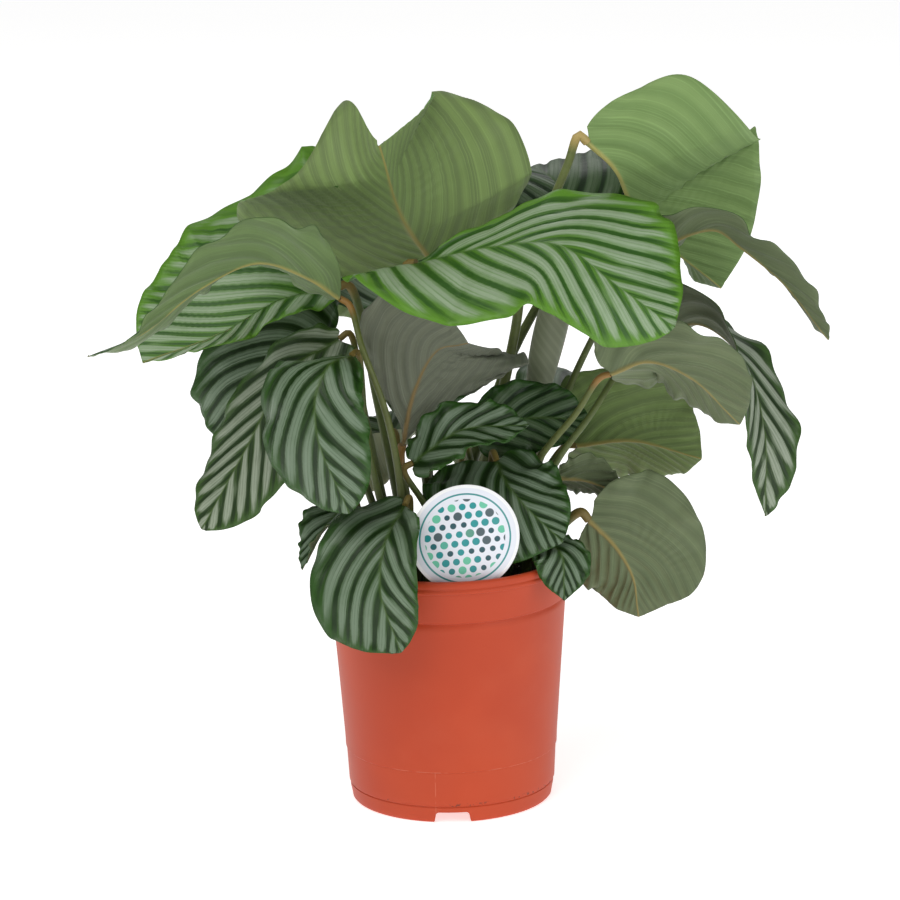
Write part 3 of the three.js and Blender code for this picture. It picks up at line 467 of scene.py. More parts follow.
# The waves of a margin: the leaf's own long one, then the short ruffles.
def marginRise(leaf, side, t, out, bulge):
    height, count, phase = leaf["wave"]
    wave = height * out ** 2 * bulge * np.sin(2 * np.pi * count * t + phase + 1.9 * side)
    ruffle = sum(share * np.sin(2 * np.pi * often * t + turn * phase + shift * side)
                 for share, often, turn, shift in blade["ruffles"])
    return wave + leaf["ruffle"] * out ** 5 * bulge * ruffle + crestRise(leaf, side, t, out)


# The way up and the way to the side at each point of a rib.
def bladeFrame(leaf, share, ahead):
    face = np.array(leaf["face"], float)
    face /= np.linalg.norm(face, axis=1, keepdims=True)
    up = blendList(face, share)
    up -= ahead * np.sum(up * ahead, -1, keepdims=True)
    up /= np.linalg.norm(up, axis=-1, keepdims=True)
    return up, np.cross(up, ahead)


# Each half leaves the rib at its fold and then curls evenly.
def crossSection(leaf, side, share, reach, half, curl):
    fold = np.radians(np.where(side == 0, *(blendList(folds, share) for folds in leaf["fold"])))
    curl = np.radians(curl) / half
    bent = np.where(np.abs(curl) < 1e-5, 1e-5, curl)
    end = fold + bent * reach
    return (np.sin(end) - np.sin(fold)) / bent, (np.cos(fold) - np.cos(end)) / bent


def bladeGrid(leaf, rows, shares):
    curve = smoothCurve(leaf["rib"])
    length, tip = curve[1][-1], blade["tipLength"]
    w = np.linspace(0, 1, rows + 1)[:, None] * np.ones((1, len(shares)))
    v = np.array(shares)[None, :] * np.ones((rows + 1, 1))
    side, out = np.where(v > 0, 0, 1), np.abs(v)
    pick = lambda key: np.where(side == 0, leaf[key][0], leaf[key][1])
    t = blade["firstRow"] + (blade["lastRow"] - blade["firstRow"]) * w
    bulge = np.sin(np.pi * t ** pick("skew")) ** pick("taper")
    # each row of points leaves the rib at start and ends at margin, further back in the lobes
    forward = length * (0.5 - 0.5 * np.cos(np.pi * t)) + tip * t ** 12
    margin = forward - pick("lobe") * 4 * np.sqrt(t) * (1 - t) ** 3
    start = 0.93 * length * w ** 1.1 + (0.07 * length + tip) * w ** 8
    way = start + (margin - start) * out ** 1.5
    spot, ahead = alongCurve(curve, way)
    share = np.clip(way / length, 0, 1)
    up, sideways = bladeFrame(leaf, share, ahead)
    half = pick("half").astype(float)
    reach = half * bulge * out
    y, z = crossSection(leaf, side, share, reach, half, pick("curl"))
    z = z + marginRise(leaf, side, t, out, bulge)
    grid = spot + sideways * (np.sign(v) * y)[..., None] + up * z[..., None]
    # where the side vein through each point leaves the rib
    lean, spread, bend = blade["veinShape"]
    rise = reach / length
    vein = (way / length - lean * rise - bend * rise ** 2) / (1 + spread * rise)
    return grid, t, v, reach, vein


def sheetNormals(grid):
    normal = np.cross(np.gradient(grid, axis=0), np.gradient(grid, axis=1))
    return normal / np.maximum(np.linalg.norm(normal, axis=-1, keepdims=True), 1e-9)


def storeValues(mesh, name, values):
    layer = mesh.attributes.new(name, "FLOAT", "POINT")
    layer.data.foreach_set("value", np.asarray(values, np.float32).ravel())


def storeVectors(mesh, name, values):
    layer = mesh.attributes.new(name, "FLOAT_VECTOR", "POINT")
    layer.data.foreach_set("vector", np.asarray(values, np.float32).ravel())


# Node trees for geometry. Each ends in real geometry with its finish set.
class Growth(NodeSheet):
    def __init__(self, name, inputs):
        super().__init__(bpy.data.node_groups.new(name, "GeometryNodeTree"))
        face = self.tree.interface
        face.new_socket("Geometry", in_out="INPUT", socket_type="NodeSocketGeometry")
        for label, kind, default in inputs:
            socket = face.new_socket(label, in_out="INPUT", socket_type="NodeSocket" + kind)
            if default is not None:
                socket.default_value = default
        face.new_socket("Geometry", in_out="OUTPUT", socket_type="NodeSocketGeometry")
        self.entry = self.tree.nodes.new("NodeGroupInput").outputs

    def named(self, name, kind="FLOAT"):
        return self.node("GeometryNodeInputNamedAttribute", {"Name": name}, data_type=kind)["Attribute"]

    def realize(self, geometry):
        return self.node("GeometryNodeRealizeInstances", {0: geometry})[0]

    def paint(self, geometry, finish, chosen=True):
        return self.node("GeometryNodeSetMaterial", {
            "Geometry": geometry, "Selection": chosen, "Material": self.entry[finish]})[0]

    def close(self, geometry):
        self.node("NodeGroupOutput", {"Geometry": geometry})
        return self.tree


# The inputs are set by identifier before the piece is first evaluated.
def grow(piece, tree, values):
    modifier = piece.modifiers.new(tree.name, "NODES")
    modifier.node_group = tree
    for item in tree.interface.items_tree:
        if item.in_out == "INPUT" and item.name in values:
            modifier[item.identifier] = values[item.name]
    mesh = bpy.data.meshes.new_from_object(piece.evaluated_get(bpy.context.evaluated_depsgraph_get()))
    piece.modifiers.clear()
    name = piece.name
    bpy.data.objects.remove(piece)
    mesh.name = name
    return toScene(name, mesh)


# The pleats of a blade: both faces rise and fall together along each side vein.
def pleatTree():
    sheet = Growth("pleatedBlade", [
        ("Pleat Height", "Float", 0.0007), ("Vein Sharpness", "Float", 0.35),
        ("Upper Finish", "Material", None), ("Under Finish", "Material", None)])
    across = sheet.named("across")
    turn = sheet.times(sheet.named("band"), 2 * math.pi)
    sharp = sheet.times(sheet.math("COSINE", sheet.times(turn, 2.0)), sheet.entry["Vein Sharpness"])
    wave = sheet.minus(sheet.math("COSINE", turn), sharp)
    rise = sheet.math("MINIMUM", sheet.times(across, 5.0), 1.0)
    fade = sheet.minus(1.0, sheet.times(sheet.math("POWER", across, 6.0), 0.7))
    height = sheet.times(wave, sheet.entry["Pleat Height"], rise, fade, sheet.named("bulge"))
    lift = sheet.node("ShaderNodeVectorMath", {0: sheet.named("sheetUp", "FLOAT_VECTOR"), "Scale": height},
                      operation="SCALE")[0]
    moved = sheet.node("GeometryNodeSetPosition", {"Geometry": sheet.entry["Geometry"], "Offset": lift})[0]
    under = sheet.paint(sheet.realize(moved), "Under Finish")
    return sheet.close(sheet.paint(under, "Upper Finish", sheet.named("onTop")))


pleats = pleatTree()


def bladeColumns(count):
    outer = (np.arange(1, count + 1) / count) ** 1.5
    return np.concatenate([-outer[::-1], [0], outer])


# Faces of a thin closed sheet: upper side, under side, and the edge between them.
def sheetFaces(high, wide):
    index = np.arange(high * wide).reshape(high, wide)
    shift = high * wide
    a, b = index[:-1, :-1].ravel(), index[1:, :-1].ravel()
    c, d = index[1:, 1:].ravel(), index[:-1, 1:].ravel()
    faces = [np.stack([a, b, c, d], 1), np.stack([a, d, c, b], 1) + shift]
    for line in (index[0, ::-1], index[:, 0], index[-1, :], index[::-1, -1]):
        p, q = line[:-1], line[1:]
        faces.append(np.stack([q, p, p + shift, q + shift], 1))
    return np.concatenate(faces).tolist()


def makeBlade(leaf):
    name = "blade_" + leaf["name"]
    wide = max(leaf["half"]) > blade["wideLeaf"]
    rows = blade["rows"] if wide else blade["smallRows"]
    shares = bladeColumns(blade["halfColumns"] if wide else blade["smallHalfColumns"])
    grid, t, v, reach, vein = bladeGrid(leaf, rows, shares)
    normal = sheetNormals(grid)
    ribRadius = blade["ribRadius"] * (1 - 0.85 * t)
    ridge = blade["ribHeight"] * np.sqrt(np.clip(ribRadius ** 2 - reach ** 2, 0, None))
    groove = blade["groove"] * np.exp(-(reach / blade["grooveWidth"]) ** 2) * (1 - 0.6 * t)
    upper = grid - normal * (blade["sink"] + groove)[..., None]
    lower = grid - normal * (blade["sink"] + blade["thick"] + ridge)[..., None]
    spots = np.concatenate([upper.reshape(-1, 3), lower.reshape(-1, 3)]) * mm
    mesh = bpy.data.meshes.new(name)
    mesh.from_pydata(spots.tolist(), [], sheetFaces(rows + 1, len(shares)))
    random.seed(leaf["name"])
    jitter = random.random()
    band = vein * leaf["bands"] + 0.5 * (v > 0) + 0.13 * np.sin(9 * vein + 6 * jitter) + jitter
    ribNear = np.clip(1.5 - reach / np.maximum(ribRadius * 0.9, 0.5), 0, 1)
    bulge = np.clip(np.sin(np.pi * t) * 1.6, 0, 1)
    for label, values in (("across", np.abs(v)), ("band", band), ("bulge", bulge), ("rib", ribNear)):
        storeValues(mesh, label, np.concatenate([values.ravel(), values.ravel()]))
    storeValues(mesh, "onTop", np.repeat([1.0, 0.0], grid.shape[0] * grid.shape[1]))
    storeVectors(mesh, "sheetUp", np.concatenate([normal.reshape(-1, 3)] * 2))
    mesh.shade_smooth()
    piece = grow(toScene(name, mesh), pleats, {
        "Pleat Height": (blade["pleat"] if wide else blade["smallPleat"]) * mm,
        "Upper Finish": upperFinish[leaf["upper"]], "Under Finish": underFinish[leaf["under"]]})
    piece.data.shade_smooth()
    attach(piece, "root")
    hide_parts("leaf_" + leaf["name"])


for leaf in leaves:
    makeBlade(leaf)
print("calathea: blades")

# Stems: a round petiole with a swollen, warm-coloured joint just under the blade.
stemLooks = {
    "green": {"foot": (0.045, 0.062, 0.018), "middle": (0.085, 0.115, 0.026), "joint": (0.17, 0.125, 0.030)},
    "bronze": {"foot": (0.050, 0.066, 0.020), "middle": (0.100, 0.122, 0.028), "joint": (0.25, 0.135, 0.032)},
    "cream": {"foot": (0.060, 0.080, 0.025), "middle": (0.120, 0.150, 0.040), "joint": (0.40, 0.30, 0.10)},
}
stem = {"footRadius": 4.9, "topRadius": 3.1, "jointSwell": 0.4, "jointLength": 13, "slim": 0.72,
        "soilLevel": 177, "upright": (-22, 4, 10), "neck": 9, "gap": 0.45, "rings": 96, "sides": 20}


def stemMaterial(look):
    tones = stemLooks[look]
    sheet = Finish("petiole_" + look)
    along, reach = sheet.attribute("along"), sheet.attribute("toBlade")
    streak = sheet.noise(220.0, 3.0)
    color = sheet.mix(sheet.ramp(along, 0.05, 0.6), tones["foot"], tones["middle"])
    color = sheet.mix(sheet.ramp(streak, 0.35, 0.8, 0.0, 0.45), color, tones["foot"])
    color = sheet.mix(sheet.ramp(reach, 0.024, 0.010), color, tones["joint"])
    sheet.bump(streak, 0.25, 0.0005)
    return sheet.finish(color, 0.46, Specular_IOR_Level=0.4)


def stemTree():
    sheet = Growth("petiole", [
        ("Foot Radius", "Float", 0.0035), ("Top Radius", "Float", 0.002), ("Joint Swell", "Float", 0.0008),
        ("Joint Length", "Float", 0.013), ("Rings", "Int", 90), ("Sides", "Int", 18),
        ("Finish", "Material", None)])
    entry = sheet.entry
    curve = sheet.node("GeometryNodeMeshToCurve", {0: entry["Geometry"]})[0]
    curve = sheet.node("GeometryNodeResampleCurve", {"Curve": curve, "Count": entry["Rings"]})[0]
    place = sheet.node("GeometryNodeSplineParameter", {})
    left = sheet.minus(sheet.node("GeometryNodeSplineLength", {})["Length"], place["Length"])
    for name, value in (("along", place["Factor"]), ("toBlade", left)):
        curve = sheet.node("GeometryNodeStoreNamedAttribute", {
            "Geometry": curve, "Name": name, "Value": value}, data_type="FLOAT", domain="POINT")[0]
    slim = sheet.minus(entry["Top Radius"], entry["Foot Radius"])
    radius = sheet.times(sheet.math("POWER", place["Factor"], 0.7), slim)
    radius = sheet.plus(entry["Foot Radius"], radius)
    offJoint = sheet.minus(sheet.over(left, entry["Joint Length"]), 0.6)
    bell = sheet.math("POWER", 0.135, sheet.times(offJoint, offJoint))
    radius = sheet.plus(radius, sheet.times(bell, entry["Joint Swell"]))
    ring = sheet.node("GeometryNodeCurvePrimitiveCircle", {"Radius": 1.0, "Resolution": entry["Sides"]})
    skin = sheet.node("GeometryNodeCurveToMesh", {
        "Curve": curve, "Profile Curve": ring["Curve"], "Scale": radius, "Fill Caps": True})[0]
    return sheet.close(sheet.paint(sheet.realize(skin), "Finish"))


petioles = stemTree()
stemFinish = {look: stemMaterial(look) for look in stemLooks}


# Every stem starts below the soil and comes out of it upright, before it bends.
def stemCurve(root, heights, path):
    return smoothCurve([(*root, stem["soilLevel"] + height) for height in heights] + path)


def makeStem(leaf):
    name = "petiole_" + leaf["name"]
    base, ahead = (found[0] for found in alongCurve(smoothCurve(leaf["rib"]), np.array([0.0])))
    bends = [*leaf["via"], base - ahead * stem["neck"], base - ahead * stem["gap"]]
    path = stemCurve(leaf["root"], stem["upright"], bends)[0]
    mesh = bpy.data.meshes.new(name)
    mesh.from_pydata((path * mm).tolist(), [(k, k + 1) for k in range(len(path) - 1)], [])
    size = mm if max(leaf["half"]) > blade["wideLeaf"] else stem["slim"] * mm
    piece = grow(toScene(name, mesh), petioles, {
        "Foot Radius": stem["footRadius"] * size, "Top Radius": stem["topRadius"] * size,
        "Joint Swell": stem["jointSwell"] * size, "Joint Length": stem["jointLength"] * mm,
        "Rings": stem["rings"], "Sides": stem["sides"], "Finish": stemFinish[leaf["stem"]]})
    piece.data.shade_smooth()
    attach(piece, "root")
    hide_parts("stem_" + leaf["name"])


for leaf in leaves:
    makeStem(leaf)
print("calathea: petioles")

# The young leaf is still rolled into a pale spear, with its free edge winding round it.
spear = {"root": (29, 3), "path": [(62, 46, 266), (76, 54, 325), (90, 56, 382), (100, 62, 432)],
         "upright": (-22, 6, 12), "footRadius": 4.1, "rollRadius": 10.6, "rollStart": 0.42,
         "lipStep": 0.12, "winding": 4.4, "rings": 150, "sides": 44}


def spearMaterial():
    sheet = Finish("rolledLeaf")
    along, around = sheet.attribute("along"), sheet.attribute("around")
    vein = sheet.math("SINE", sheet.plus(sheet.times(along, 260.0), sheet.times(around, 9.0)))
    color = sheet.mix(sheet.ramp(vein, -0.2, 0.9, 0.0, 0.5), (0.215, 0.240, 0.155), (0.270, 0.300, 0.200))
    color = sheet.mix(sheet.ramp(along, 0.42, 0.20), color, (0.10, 0.13, 0.04))
    sheet.bump(vein, 0.2, 0.0004)
    return sheet.finish(color, 0.5, Specular_IOR_Level=0.35)


def makeSpear():
    curve = stemCurve(spear["root"], spear["upright"], spear["path"])
    count = spear["sides"]
    s = np.linspace(0, 1, spear["rings"] + 1)
    spot, ahead = alongCurve(curve, s * curve[1][-1])
    first = np.cross(ahead, np.array([0.0, 1.0, 0.0]))
    first /= np.linalg.norm(first, axis=1, keepdims=True)
    second = np.cross(ahead, first)
    rolled = np.sin(np.pi * np.clip((s - spear["rollStart"]) / (1 - spear["rollStart"]), 0, 1) ** 1.1)
    radius = spear["footRadius"] * (1 - s ** 3) + spear["rollRadius"] * rolled + 0.5 * s
    turn = np.linspace(0, 2 * np.pi, count, endpoint=False)
    lip = ((turn[None, :] - spear["winding"] * s[:, None] - 1.0) / (2 * np.pi)) % 1
    shape = radius[:, None] * (1 - spear["lipStep"] * rolled[:, None] * lip)
    spots = (spot[:, None, :] + first[:, None, :] * (np.cos(turn) * shape)[..., None]
             + second[:, None, :] * (np.sin(turn) * shape)[..., None])
    index = np.arange(len(s) * count).reshape(-1, count)
    right = np.roll(index, -1, axis=1)
    faces = np.stack([index[:-1], right[:-1], right[1:], index[1:]], -1).reshape(-1, 4).tolist()
    faces += [index[0][::-1].tolist(), index[-1].tolist()]
    mesh = bpy.data.meshes.new("rolledLeaf")
    mesh.from_pydata((spots.reshape(-1, 3) * mm).tolist(), [], faces)
    storeValues(mesh, "along", np.repeat(s, count))
    storeValues(mesh, "around", np.tile(turn, len(s)))
    mesh.shade_smooth()
    mesh.materials.append(spearMaterial())
    piece = toScene("rolledLeaf", mesh)
    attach(piece, "root")
    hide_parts("young_leaf")


makeSpear()
print("calathea: rolled young leaf")


# Small helpers for turned and cut solids, in millimetres.
def circle(radius, count):
    angles = np.linspace(0, 2 * np.pi, count, endpoint=False)
    return [(radius * math.cos(a), radius * math.sin(a)) for a in angles]


def solidOf(name, spots, faces):
    mesh = bpy.data.meshes.new(name)
    mesh.from_pydata([tuple(c * mm for c in spot) for spot in spots], [], faces)
    mesh.update()
    return toScene(name, mesh)


def outward(piece):
    work = bmesh.new()
    work.from_mesh(piece.data)
    bmesh.ops.remove_doubles(work, verts=work.verts, dist=1e-7)
    bmesh.ops.recalc_face_normals(work, faces=work.faces)
    work.to_mesh(piece.data)
    work.free()


def turned(name, outline, sides):
    spots, rings = [], []
    for r, z in outline:
        around = circle(r, sides) if r else [(0, 0)]
        rings.append([len(spots) + (k if r else 0) for k in range(sides)])
        spots += [(x, y, z) for x, y in around]
    faces = []
    for low, high in zip(rings, rings[1:]):
        for k in range(sides):
            n = (k + 1) % sides
            corner = [low[k], low[n], high[n], high[k]]
            faces.append([c for i, c in enumerate(corner) if c not in corner[:i]])
    return solidOf(name, spots, faces)


# A straight prism: the same ring of corners low and high, with flat ends.
def prism(name, low, high):
    n = len(low)
    faces = [list(range(n)), list(range(2 * n - 1, n - 1, -1))]
    faces += [[k, k + n, (k + 1) % n + n, (k + 1) % n] for k in range(n)]
    return solidOf(name, low + high, faces)


# The pot is turned from one outline, with notches in its foot and drain holes in its floor.
pot = {"height": 193, "rim": 95, "wallTop": 91.5, "foot": 76.5, "wall": 2, "step": 159, "rimDrop": 9.5,
       "floor": 12, "floorThick": 2.5, "sides": 192, "notches": 4, "notchWidth": 27, "notchHeight": 11.2,
       "notchDepth": 8, "drains": 6, "drainRadius": 5, "drainReach": 46, "drainSides": 24, "pad": 9}
# in metres: the mould line, the raised line round the pot, and the ledge near the foot that is painted darker
# in patches
potMarks = {"seam": 0.0125, "seamTop": 0.041, "line": 0.0408, "grooveDark": (0.0125, 0.0165)}
potTones = {"deep": (0.445, 0.050, 0.014), "bright": (0.500, 0.062, 0.018), "scuff": (0.55, 0.11, 0.05),
            "line": (0.60, 0.20, 0.12), "grooveDark": (0.07, 0.03, 0.02)}


def potOutline():
    top, foot, floor = pot["height"], pot["foot"], pot["floor"]
    outer = lambda z: foot + (pot["wallTop"] - foot) * z / top
    inner = lambda z: foot + (pot["wallTop"] - foot) * (z - floor) / (top - floor) - pot["wall"]
    step, drop, under = pot["step"], top - pot["rimDrop"], floor - pot["floorThick"]
    rim, pad = pot["rim"], pot["pad"]
    return [
        (0, 0), (pad - 0.5, 0), (pad, 0.5), (pad, under - 0.6), (pad + 0.8, under), (foot - 6.4, under),
        (foot - 5.6, 5.6), (foot - 5.2, 0.6), (foot - 4.6, 0), (foot - 2.6, 0), (foot - 1.3, 0.5),
        (foot - 0.4, 1.6), (foot, 3.2), (outer(8) + 0.1, 8), (outer(12) + 0.05, 12),
        (outer(12.4) - 0.45, 12.5), (outer(13) - 0.45, 13.1), (outer(13.4) + 0.55, 13.7),
        (outer(14) + 0.7, 14.4), (outer(20) + 0.5, 20), (outer(39) + 0.1, 39.2), (outer(40.2), 40.3),
        (outer(40.8) + 0.7, 41), (outer(48) + 0.4, 48), (outer(90) + 0.2, 90),
        (outer(step - 6) + 0.05, step - 6), (outer(step - 2), step - 2),
        (outer(step - 0.6) - 0.7, step - 0.8), (outer(step) - 0.7, step + 0.2),
        (outer(step + 0.8) + 0.85, step + 1.0), (outer(step + 2) + 1.0, step + 2),
        (outer(drop - 1) + 0.9, drop - 1.2), (outer(drop) + 1.2, drop - 0.3), (rim - 1.1, drop),
        (rim - 0.35, drop + 0.5), (rim, drop + 1.5), (rim - 0.15, drop + 3.0), (rim - 0.75, drop + 3.7),
        (rim - 0.65, drop + 4.4), (rim - 0.2, drop + 5.2), (rim - 0.3, top - 2.0), (rim - 0.8, top - 0.8),
        (rim - 1.7, top - 0.15), (rim - 2.6, top), (inner(top) + 1.2, top), (inner(top) + 0.2, top - 0.6),
        (inner(top - 2), top - 2), (inner(100), 100), (inner(floor + 3), floor + 3),
        (inner(floor) - 1.2, floor), (0, floor)]


def notchCutter(turn):
    w, h = pot["notchWidth"] / 2, pot["notchHeight"]
    shape = [(-w - 2, -2), (w + 2, -2), (w, 1.5), (w - 1, h - 4.2), (w - 1.7, h - 3.2), (w - 3, h - 2.6),
             (3 - w, h - 2.6), (1.7 - w, h - 3.2), (1 - w, h - 4.2), (-w, 1.5)]
    c, s = math.cos(turn), math.sin(turn)
    depths = (-pot["foot"] - pot["notchDepth"], -pot["foot"] + pot["notchDepth"])
    ends = [[(x * c - y * s, x * s + y * c, z) for x, z in shape] for y in depths]
    return prism("notchCutter", *ends)


def drainCutter(turn):
    x, y = pot["drainReach"] * math.cos(turn), pot["drainReach"] * math.sin(turn)
    ends = [[(x + dx, y + dy, z) for dx, dy in circle(pot["drainRadius"], pot["drainSides"])]
            for z in (0, pot["floor"] + 3)]
    return prism("drainCutter", *ends)


# Orange plastic with a faint mould line over the front notch and dark patches painted on the ledge near the
# foot.
def potMaterial():
    sheet = Finish("orangePlastic")
    grain, cloud = sheet.noise(700.0, 2.0), sheet.noise(9.0, 3.0)
    color = sheet.mix(sheet.ramp(cloud, 0.35, 0.7), potTones["deep"], potTones["bright"])
    scuffs = sheet.noise(1.0, 2.0, sheet.combine(sheet.times(sheet.noise(4.0), 3.0), 0.0, sheet.noise(30.0)))
    color = sheet.mix(sheet.ramp(scuffs, 0.55, 0.8, 0.0, 0.15), color, potTones["scuff"])
    x, y, z = sheet.node("ShaderNodeSeparateXYZ", {0: sheet.coordinates()})
    seam = sheet.ramp(sheet.math("ABSOLUTE", sheet.plus(x, potMarks["seam"])), 0.0005, 0.0001)
    low = sheet.times(sheet.ramp(z, potMarks["seamTop"], potMarks["seamTop"] - 0.001),
                      sheet.ramp(y, 0.0, -0.001))
    broken = sheet.patches(160.0, 2.0, 0.42, 0.56)
    ring = sheet.ramp(sheet.math("ABSOLUTE", sheet.minus(z, potMarks["line"])), 0.0007, 0.0002)
    marks = sheet.math("MAXIMUM", sheet.times(seam, low, broken), sheet.times(ring, broken))
    color = sheet.mix(sheet.times(marks, 0.40), color, potTones["line"])
    # dark patches painted on the ledge near the foot, at most three quarters strong
    bottom, top = potMarks["grooveDark"]
    grooveDark = sheet.times(sheet.ramp(z, bottom, bottom + 0.001), sheet.ramp(z, top, top - 0.002),
                       sheet.patches(420.0, 2.0, 0.56, 0.62), sheet.patches(25.0, 1.0, 0.48, 0.58), 0.75)
    color = sheet.mix(grooveDark, color, potTones["grooveDark"])
    sheet.bump(grain, 0.06, 0.0004)
    return sheet.finish(color, sheet.ramp(cloud, 0.3, 0.7, 0.44, 0.52), Specular_IOR_Level=0.28)


def makePot():
    piece = turned("nurseryPot", potOutline(), pot["sides"])
    outward(piece)
    cutters = [notchCutter(2 * math.pi * k / pot["notches"]) for k in range(pot["notches"])]
    cutters += [drainCutter(2 * math.pi * (k + 0.5) / pot["drains"]) for k in range(pot["drains"])]
    for cutter in cutters:
        outward(cutter)
        cut = piece.modifiers.new("cut", "BOOLEAN")
        cut.operation = "DIFFERENCE"
        cut.solver = "EXACT"
        cut.object = cutter
    mesh = bpy.data.meshes.new_from_object(piece.evaluated_get(bpy.context.evaluated_depsgraph_get()))
    for used in (piece, *cutters):
        bpy.data.objects.remove(used)
    mesh.materials.clear()
    mesh.materials.append(potMaterial())
    mesh.shade_smooth()
    mesh.set_sharp_from_angle(angle=math.radians(35))
    piece = toScene("nurseryPot", mesh)
    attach(piece, "root")
    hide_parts("pot")


makePot()
print("calathea: pot")

# Soil: a lumpy surface with bark crumbs and a few pale perlite grains lying on it.
soil = {"level": 177, "radius": 88.2, "bottom": 12.3, "bottomRadius": 73.9, "rings": 60, "sides": 140,
        "crumbBed": {"inset": 2.5, "rings": 24, "sides": 60}, "seed": 7}
soilTones = {"darkSoil": ((0.012, 0.008, 0.005), (0.045, 0.028, 0.018)),
             "barkCrumb": ((0.016, 0.010, 0.006), (0.085, 0.050, 0.028)),
             "perlite": ((0.42, 0.40, 0.36), (0.62, 0.60, 0.56))}
crumbs = {"barkCrumbs": {"count": 9000, "size": 1.5, "tone": "barkCrumb"},
          "perliteGrains": {"count": 420, "size": 1.0, "tone": "perlite"}}


def soilHeight(x, y):
    mound = 3 * math.exp(-((x * x + y * y) / 2600))
    rough = 0.7 * math.sin(x / 9 + 1) * math.sin(y / 8) + 0.5 * math.sin(x / 5 - y / 6)
    lumps = 1.6 * noise.fractal(Vector((x / 7, y / 7, 3.0)), 0.8, 2.1, 4)
    return soil["level"] + mound + rough + lumps - 0.8


def soilMaterial(name):
    sheet = Finish(name)
    color = sheet.mix(sheet.patches(260.0, 5.0, 0.35, 0.7), *soilTones[name])
    sheet.bump(sheet.noise(900.0, 4.0), 0.8, 0.001)
    return sheet.finish(color, 0.93, Specular_IOR_Level=0.25)


def crumbTree():
    sheet = Growth("soilCrumbs", [
        ("Density", "Float", 300000.0), ("Grain Size", "Float", 0.0012), ("Seed", "Int", 7),
        ("Finish", "Material", None)])
    entry = sheet.entry
    spots = sheet.node("GeometryNodeDistributePointsOnFaces", {
        "Mesh": entry["Geometry"], "Density": entry["Density"], "Seed": entry["Seed"]})["Points"]
    ball = sheet.node("GeometryNodeMeshIcoSphere", {"Subdivisions": 1, "Radius": entry["Grain Size"]})["Mesh"]
    spin, size = (sheet.node("FunctionNodeRandomValue", {0: low, 1: high, "Seed": entry["Seed"]},
                             data_type="FLOAT_VECTOR")[0]
                  for low, high in (((0, 0, 0), (6.3, 6.3, 6.3)), ((0.35, 0.35, 0.3), (1.7, 1.2, 0.9))))
    placed = sheet.node("GeometryNodeInstanceOnPoints", {
        "Points": spots, "Instance": ball, "Rotation": spin, "Scale": size})[0]
    return sheet.close(sheet.paint(sheet.realize(placed), "Finish"))


def soilDisc(radius, rings, sides):
    spots = [(0, 0, soilHeight(0, 0))]
    for i in range(1, rings + 1):
        spots += [(x, y, soilHeight(x, y)) for x, y in circle(radius * i / rings, sides)]
    at = lambda i, k: 1 + (i - 1) * sides + k % sides
    faces = [(0, at(1, k), at(1, k + 1)) for k in range(sides)]
    for i in range(1, rings):
        faces += [(at(i, k), at(i + 1, k), at(i + 1, k + 1), at(i, k + 1)) for k in range(sides)]
    return spots, faces


def makeSoil():
    n = soil["sides"]
    spots, faces = soilDisc(soil["radius"], soil["rings"], n)
    foot = len(spots)
    rim = foot - n
    spots += [(x, y, soil["bottom"]) for x, y in circle(soil["bottomRadius"], n)]
    faces += [(rim + k, foot + k, foot + (k + 1) % n, rim + (k + 1) % n) for k in range(n)]
    faces.append(tuple(range(foot + n - 1, foot - 1, -1)))
    piece = solidOf("pottingSoil", spots, faces)
    piece.data.materials.append(soilMaterial("darkSoil"))
    piece.data.shade_smooth()
    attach(piece, "root")
    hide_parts("soil")


def scatterCrumbs():
    tree, bed = crumbTree(), soil["crumbBed"]
    area = math.pi * (soil["radius"] * mm) ** 2
    for name, kind in crumbs.items():
        disc = solidOf(name, *soilDisc(soil["radius"] - bed["inset"], bed["rings"], bed["sides"]))
        layer = grow(disc, tree, {"Density": kind["count"] / area, "Grain Size": kind["size"] * mm,
                                  "Seed": soil["seed"] + len(name), "Finish": soilMaterial(kind["tone"])})
        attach(layer, "root")


makeSoil()
scatterCrumbs()
print("calathea: soil")

# Label: a round card on a stake, with a ring and rows of dots in teal and green.
label = {"radius": 41, "thick": 0.9, "bevel": 0.25, "centre": 224, "reach": 83.6, "yaw": 9, "roll": 4,
         "stake": 14, "depth": 22, "point": 8, "sides": 120, "pitch": 8.0, "rowShare": 0.866,
         "dots": (2.1, 3.3), "dotField": 30.4, "ring": (33.2, 34.8), "edge": 38.4}
labelTones = {"card": (0.74, 0.77, 0.84), "edge": (0.86, 0.87, 0.88), "ring": (0.030, 0.260, 0.260),
              "slate": (0.012, 0.075, 0.095), "teal": (0.010, 0.260, 0.270),
              "green": (0.120, 0.500, 0.330), "grey": (0.060, 0.095, 0.110)}


# Dots stand in rows, every second row moved by half a pitch. Chance picks size and tone.
def labelDots(sheet, x, y):
    pitch, rowPitch = label["pitch"], label["pitch"] * label["rowShare"]
    cellY = sheet.over(y, rowPitch)
    row = sheet.math("FLOOR", cellY)
    shift = sheet.times(sheet.math("MODULO", sheet.plus(row, 100.0), 2.0), pitch / 2)
    cellX = sheet.over(sheet.plus(x, shift), pitch)
    offX = sheet.sway(sheet.math("FRACT", cellX), pitch)
    offY = sheet.sway(sheet.math("FRACT", cellY), rowPitch)
    spread = sheet.math("SQRT", sheet.plus(sheet.times(offX, offX), sheet.times(offY, offY)))
    cell = sheet.combine(sheet.math("FLOOR", cellX), row)
    chance = sheet.node("ShaderNodeTexWhiteNoise", {"Vector": cell}, noise_dimensions="2D")["Value"]
    dot = sheet.ramp(sheet.minus(spread, sheet.ramp(chance, 0.0, 1.0, *label["dots"])), 0.15, -0.15)
    tone = sheet.mix(sheet.ramp(chance, 0.30, 0.34), labelTones["slate"], labelTones["teal"])
    tone = sheet.mix(sheet.ramp(chance, 0.62, 0.66), tone, labelTones["green"])
    return dot, sheet.mix(sheet.ramp(chance, 0.84, 0.88), tone, labelTones["grey"])


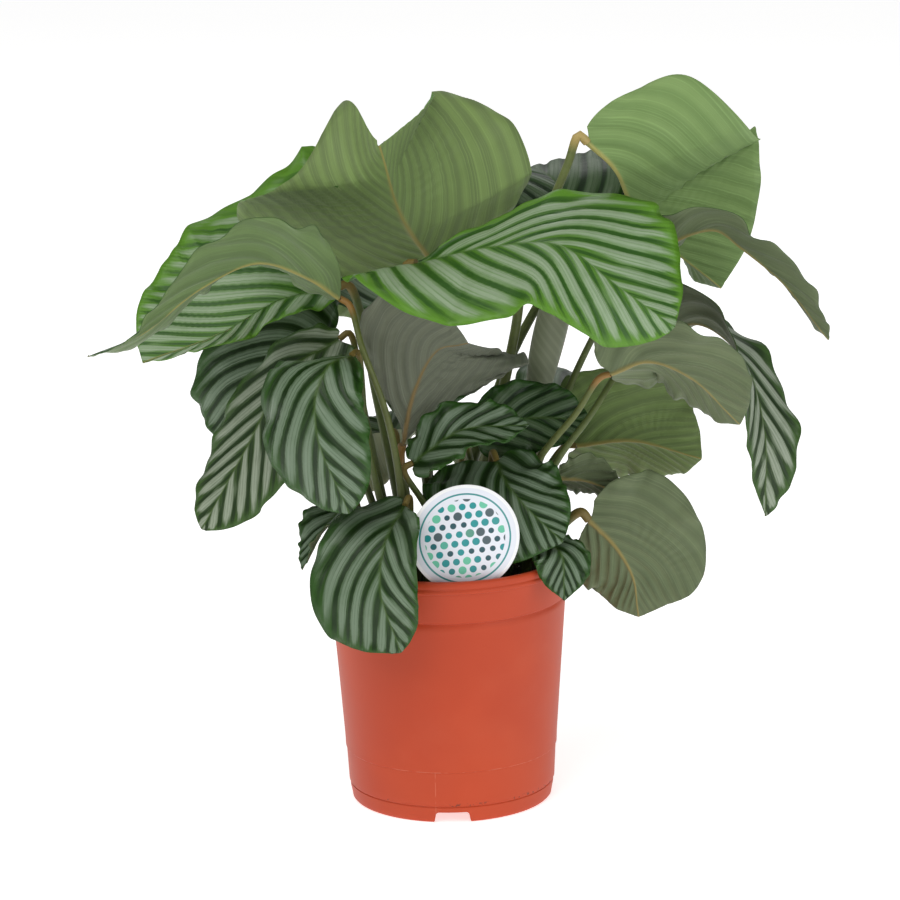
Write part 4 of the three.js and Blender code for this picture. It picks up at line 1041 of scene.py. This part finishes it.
def labelMaterial():
    sheet = Finish("printedCard")
    x, y, front = (sheet.attribute(name) for name in ("cardX", "cardY", "printed"))
    radius = sheet.math("SQRT", sheet.plus(sheet.times(x, x), sheet.times(y, y)))
    dot, tone = labelDots(sheet, x, y)
    dot = sheet.times(dot, sheet.ramp(radius, label["dotField"], label["dotField"] - 0.4))
    inner, outer = label["ring"]
    ring = sheet.times(sheet.ramp(radius, inner, inner + 0.3), sheet.ramp(radius, outer, outer - 0.3))
    edge = sheet.ramp(radius, label["edge"], label["edge"] + 0.4)
    color = sheet.mix(sheet.times(dot, front), labelTones["card"], tone)
    color = sheet.mix(sheet.times(ring, front), color, labelTones["ring"])
    color = sheet.mix(sheet.times(edge, front), color, labelTones["edge"])
    sheet.bump(sheet.noise(400.0, 2.0), 0.03, 0.0003)
    return sheet.finish(color, 0.38, Specular_IOR_Level=0.5)


def labelOutline():
    radius, waist = label["radius"], label["stake"] / 2
    start = math.asin(waist / radius)
    tip = stem["soilLevel"] - label["centre"] - label["depth"]
    outline = [(radius * math.sin(a), -radius * math.cos(a))
               for a in np.linspace(start, 2 * math.pi - start, label["sides"])]
    return outline + [(-waist, tip + label["point"]), (0, tip), (waist, tip + label["point"])]


def makeLabel():
    outline, bevel, half = labelOutline(), label["bevel"], label["thick"] / 2
    count = len(outline)
    inset = []
    for k, (x, y) in enumerate(outline):
        (px, py), (nx, ny) = outline[k - 1], outline[(k + 1) % count]
        normal = np.array([py - ny, nx - px])
        normal = normal / max(np.linalg.norm(normal), 1e-9)
        inset.append((x + bevel * normal[0], y + bevel * normal[1]))
    layers = [(inset, -half), (outline, -half + bevel), (outline, half - bevel), (inset, half)]
    spots = [(x, y, z) for line, z in layers for x, y in line]
    faces = [list(range(count - 1, -1, -1)), list(range(3 * count, 4 * count))]
    for low in (0, count, 2 * count):
        high = low + count
        faces += [[low + k, low + (k + 1) % count, high + (k + 1) % count, high + k] for k in range(count)]
    place = Matrix.Translation((0, -label["reach"], label["centre"]))
    turn = turnBy(label["yaw"], "Z") @ place @ turnBy(90, "X") @ turnBy(label["roll"], "Z")
    piece = solidOf("plantLabel", [tuple(turn @ Vector(spot)) for spot in spots], faces)
    x, y, z = np.array(spots).T
    for name, values in (("cardX", x), ("cardY", y), ("printed", z > 0)):
        storeValues(piece.data, name, values)
    outward(piece)
    piece.data.materials.append(labelMaterial())
    piece.data.shade_smooth()
    piece.data.set_sharp_from_angle(angle=math.radians(50))
    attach(piece, "root")
    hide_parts("label")


makeLabel()
print("calathea: label")
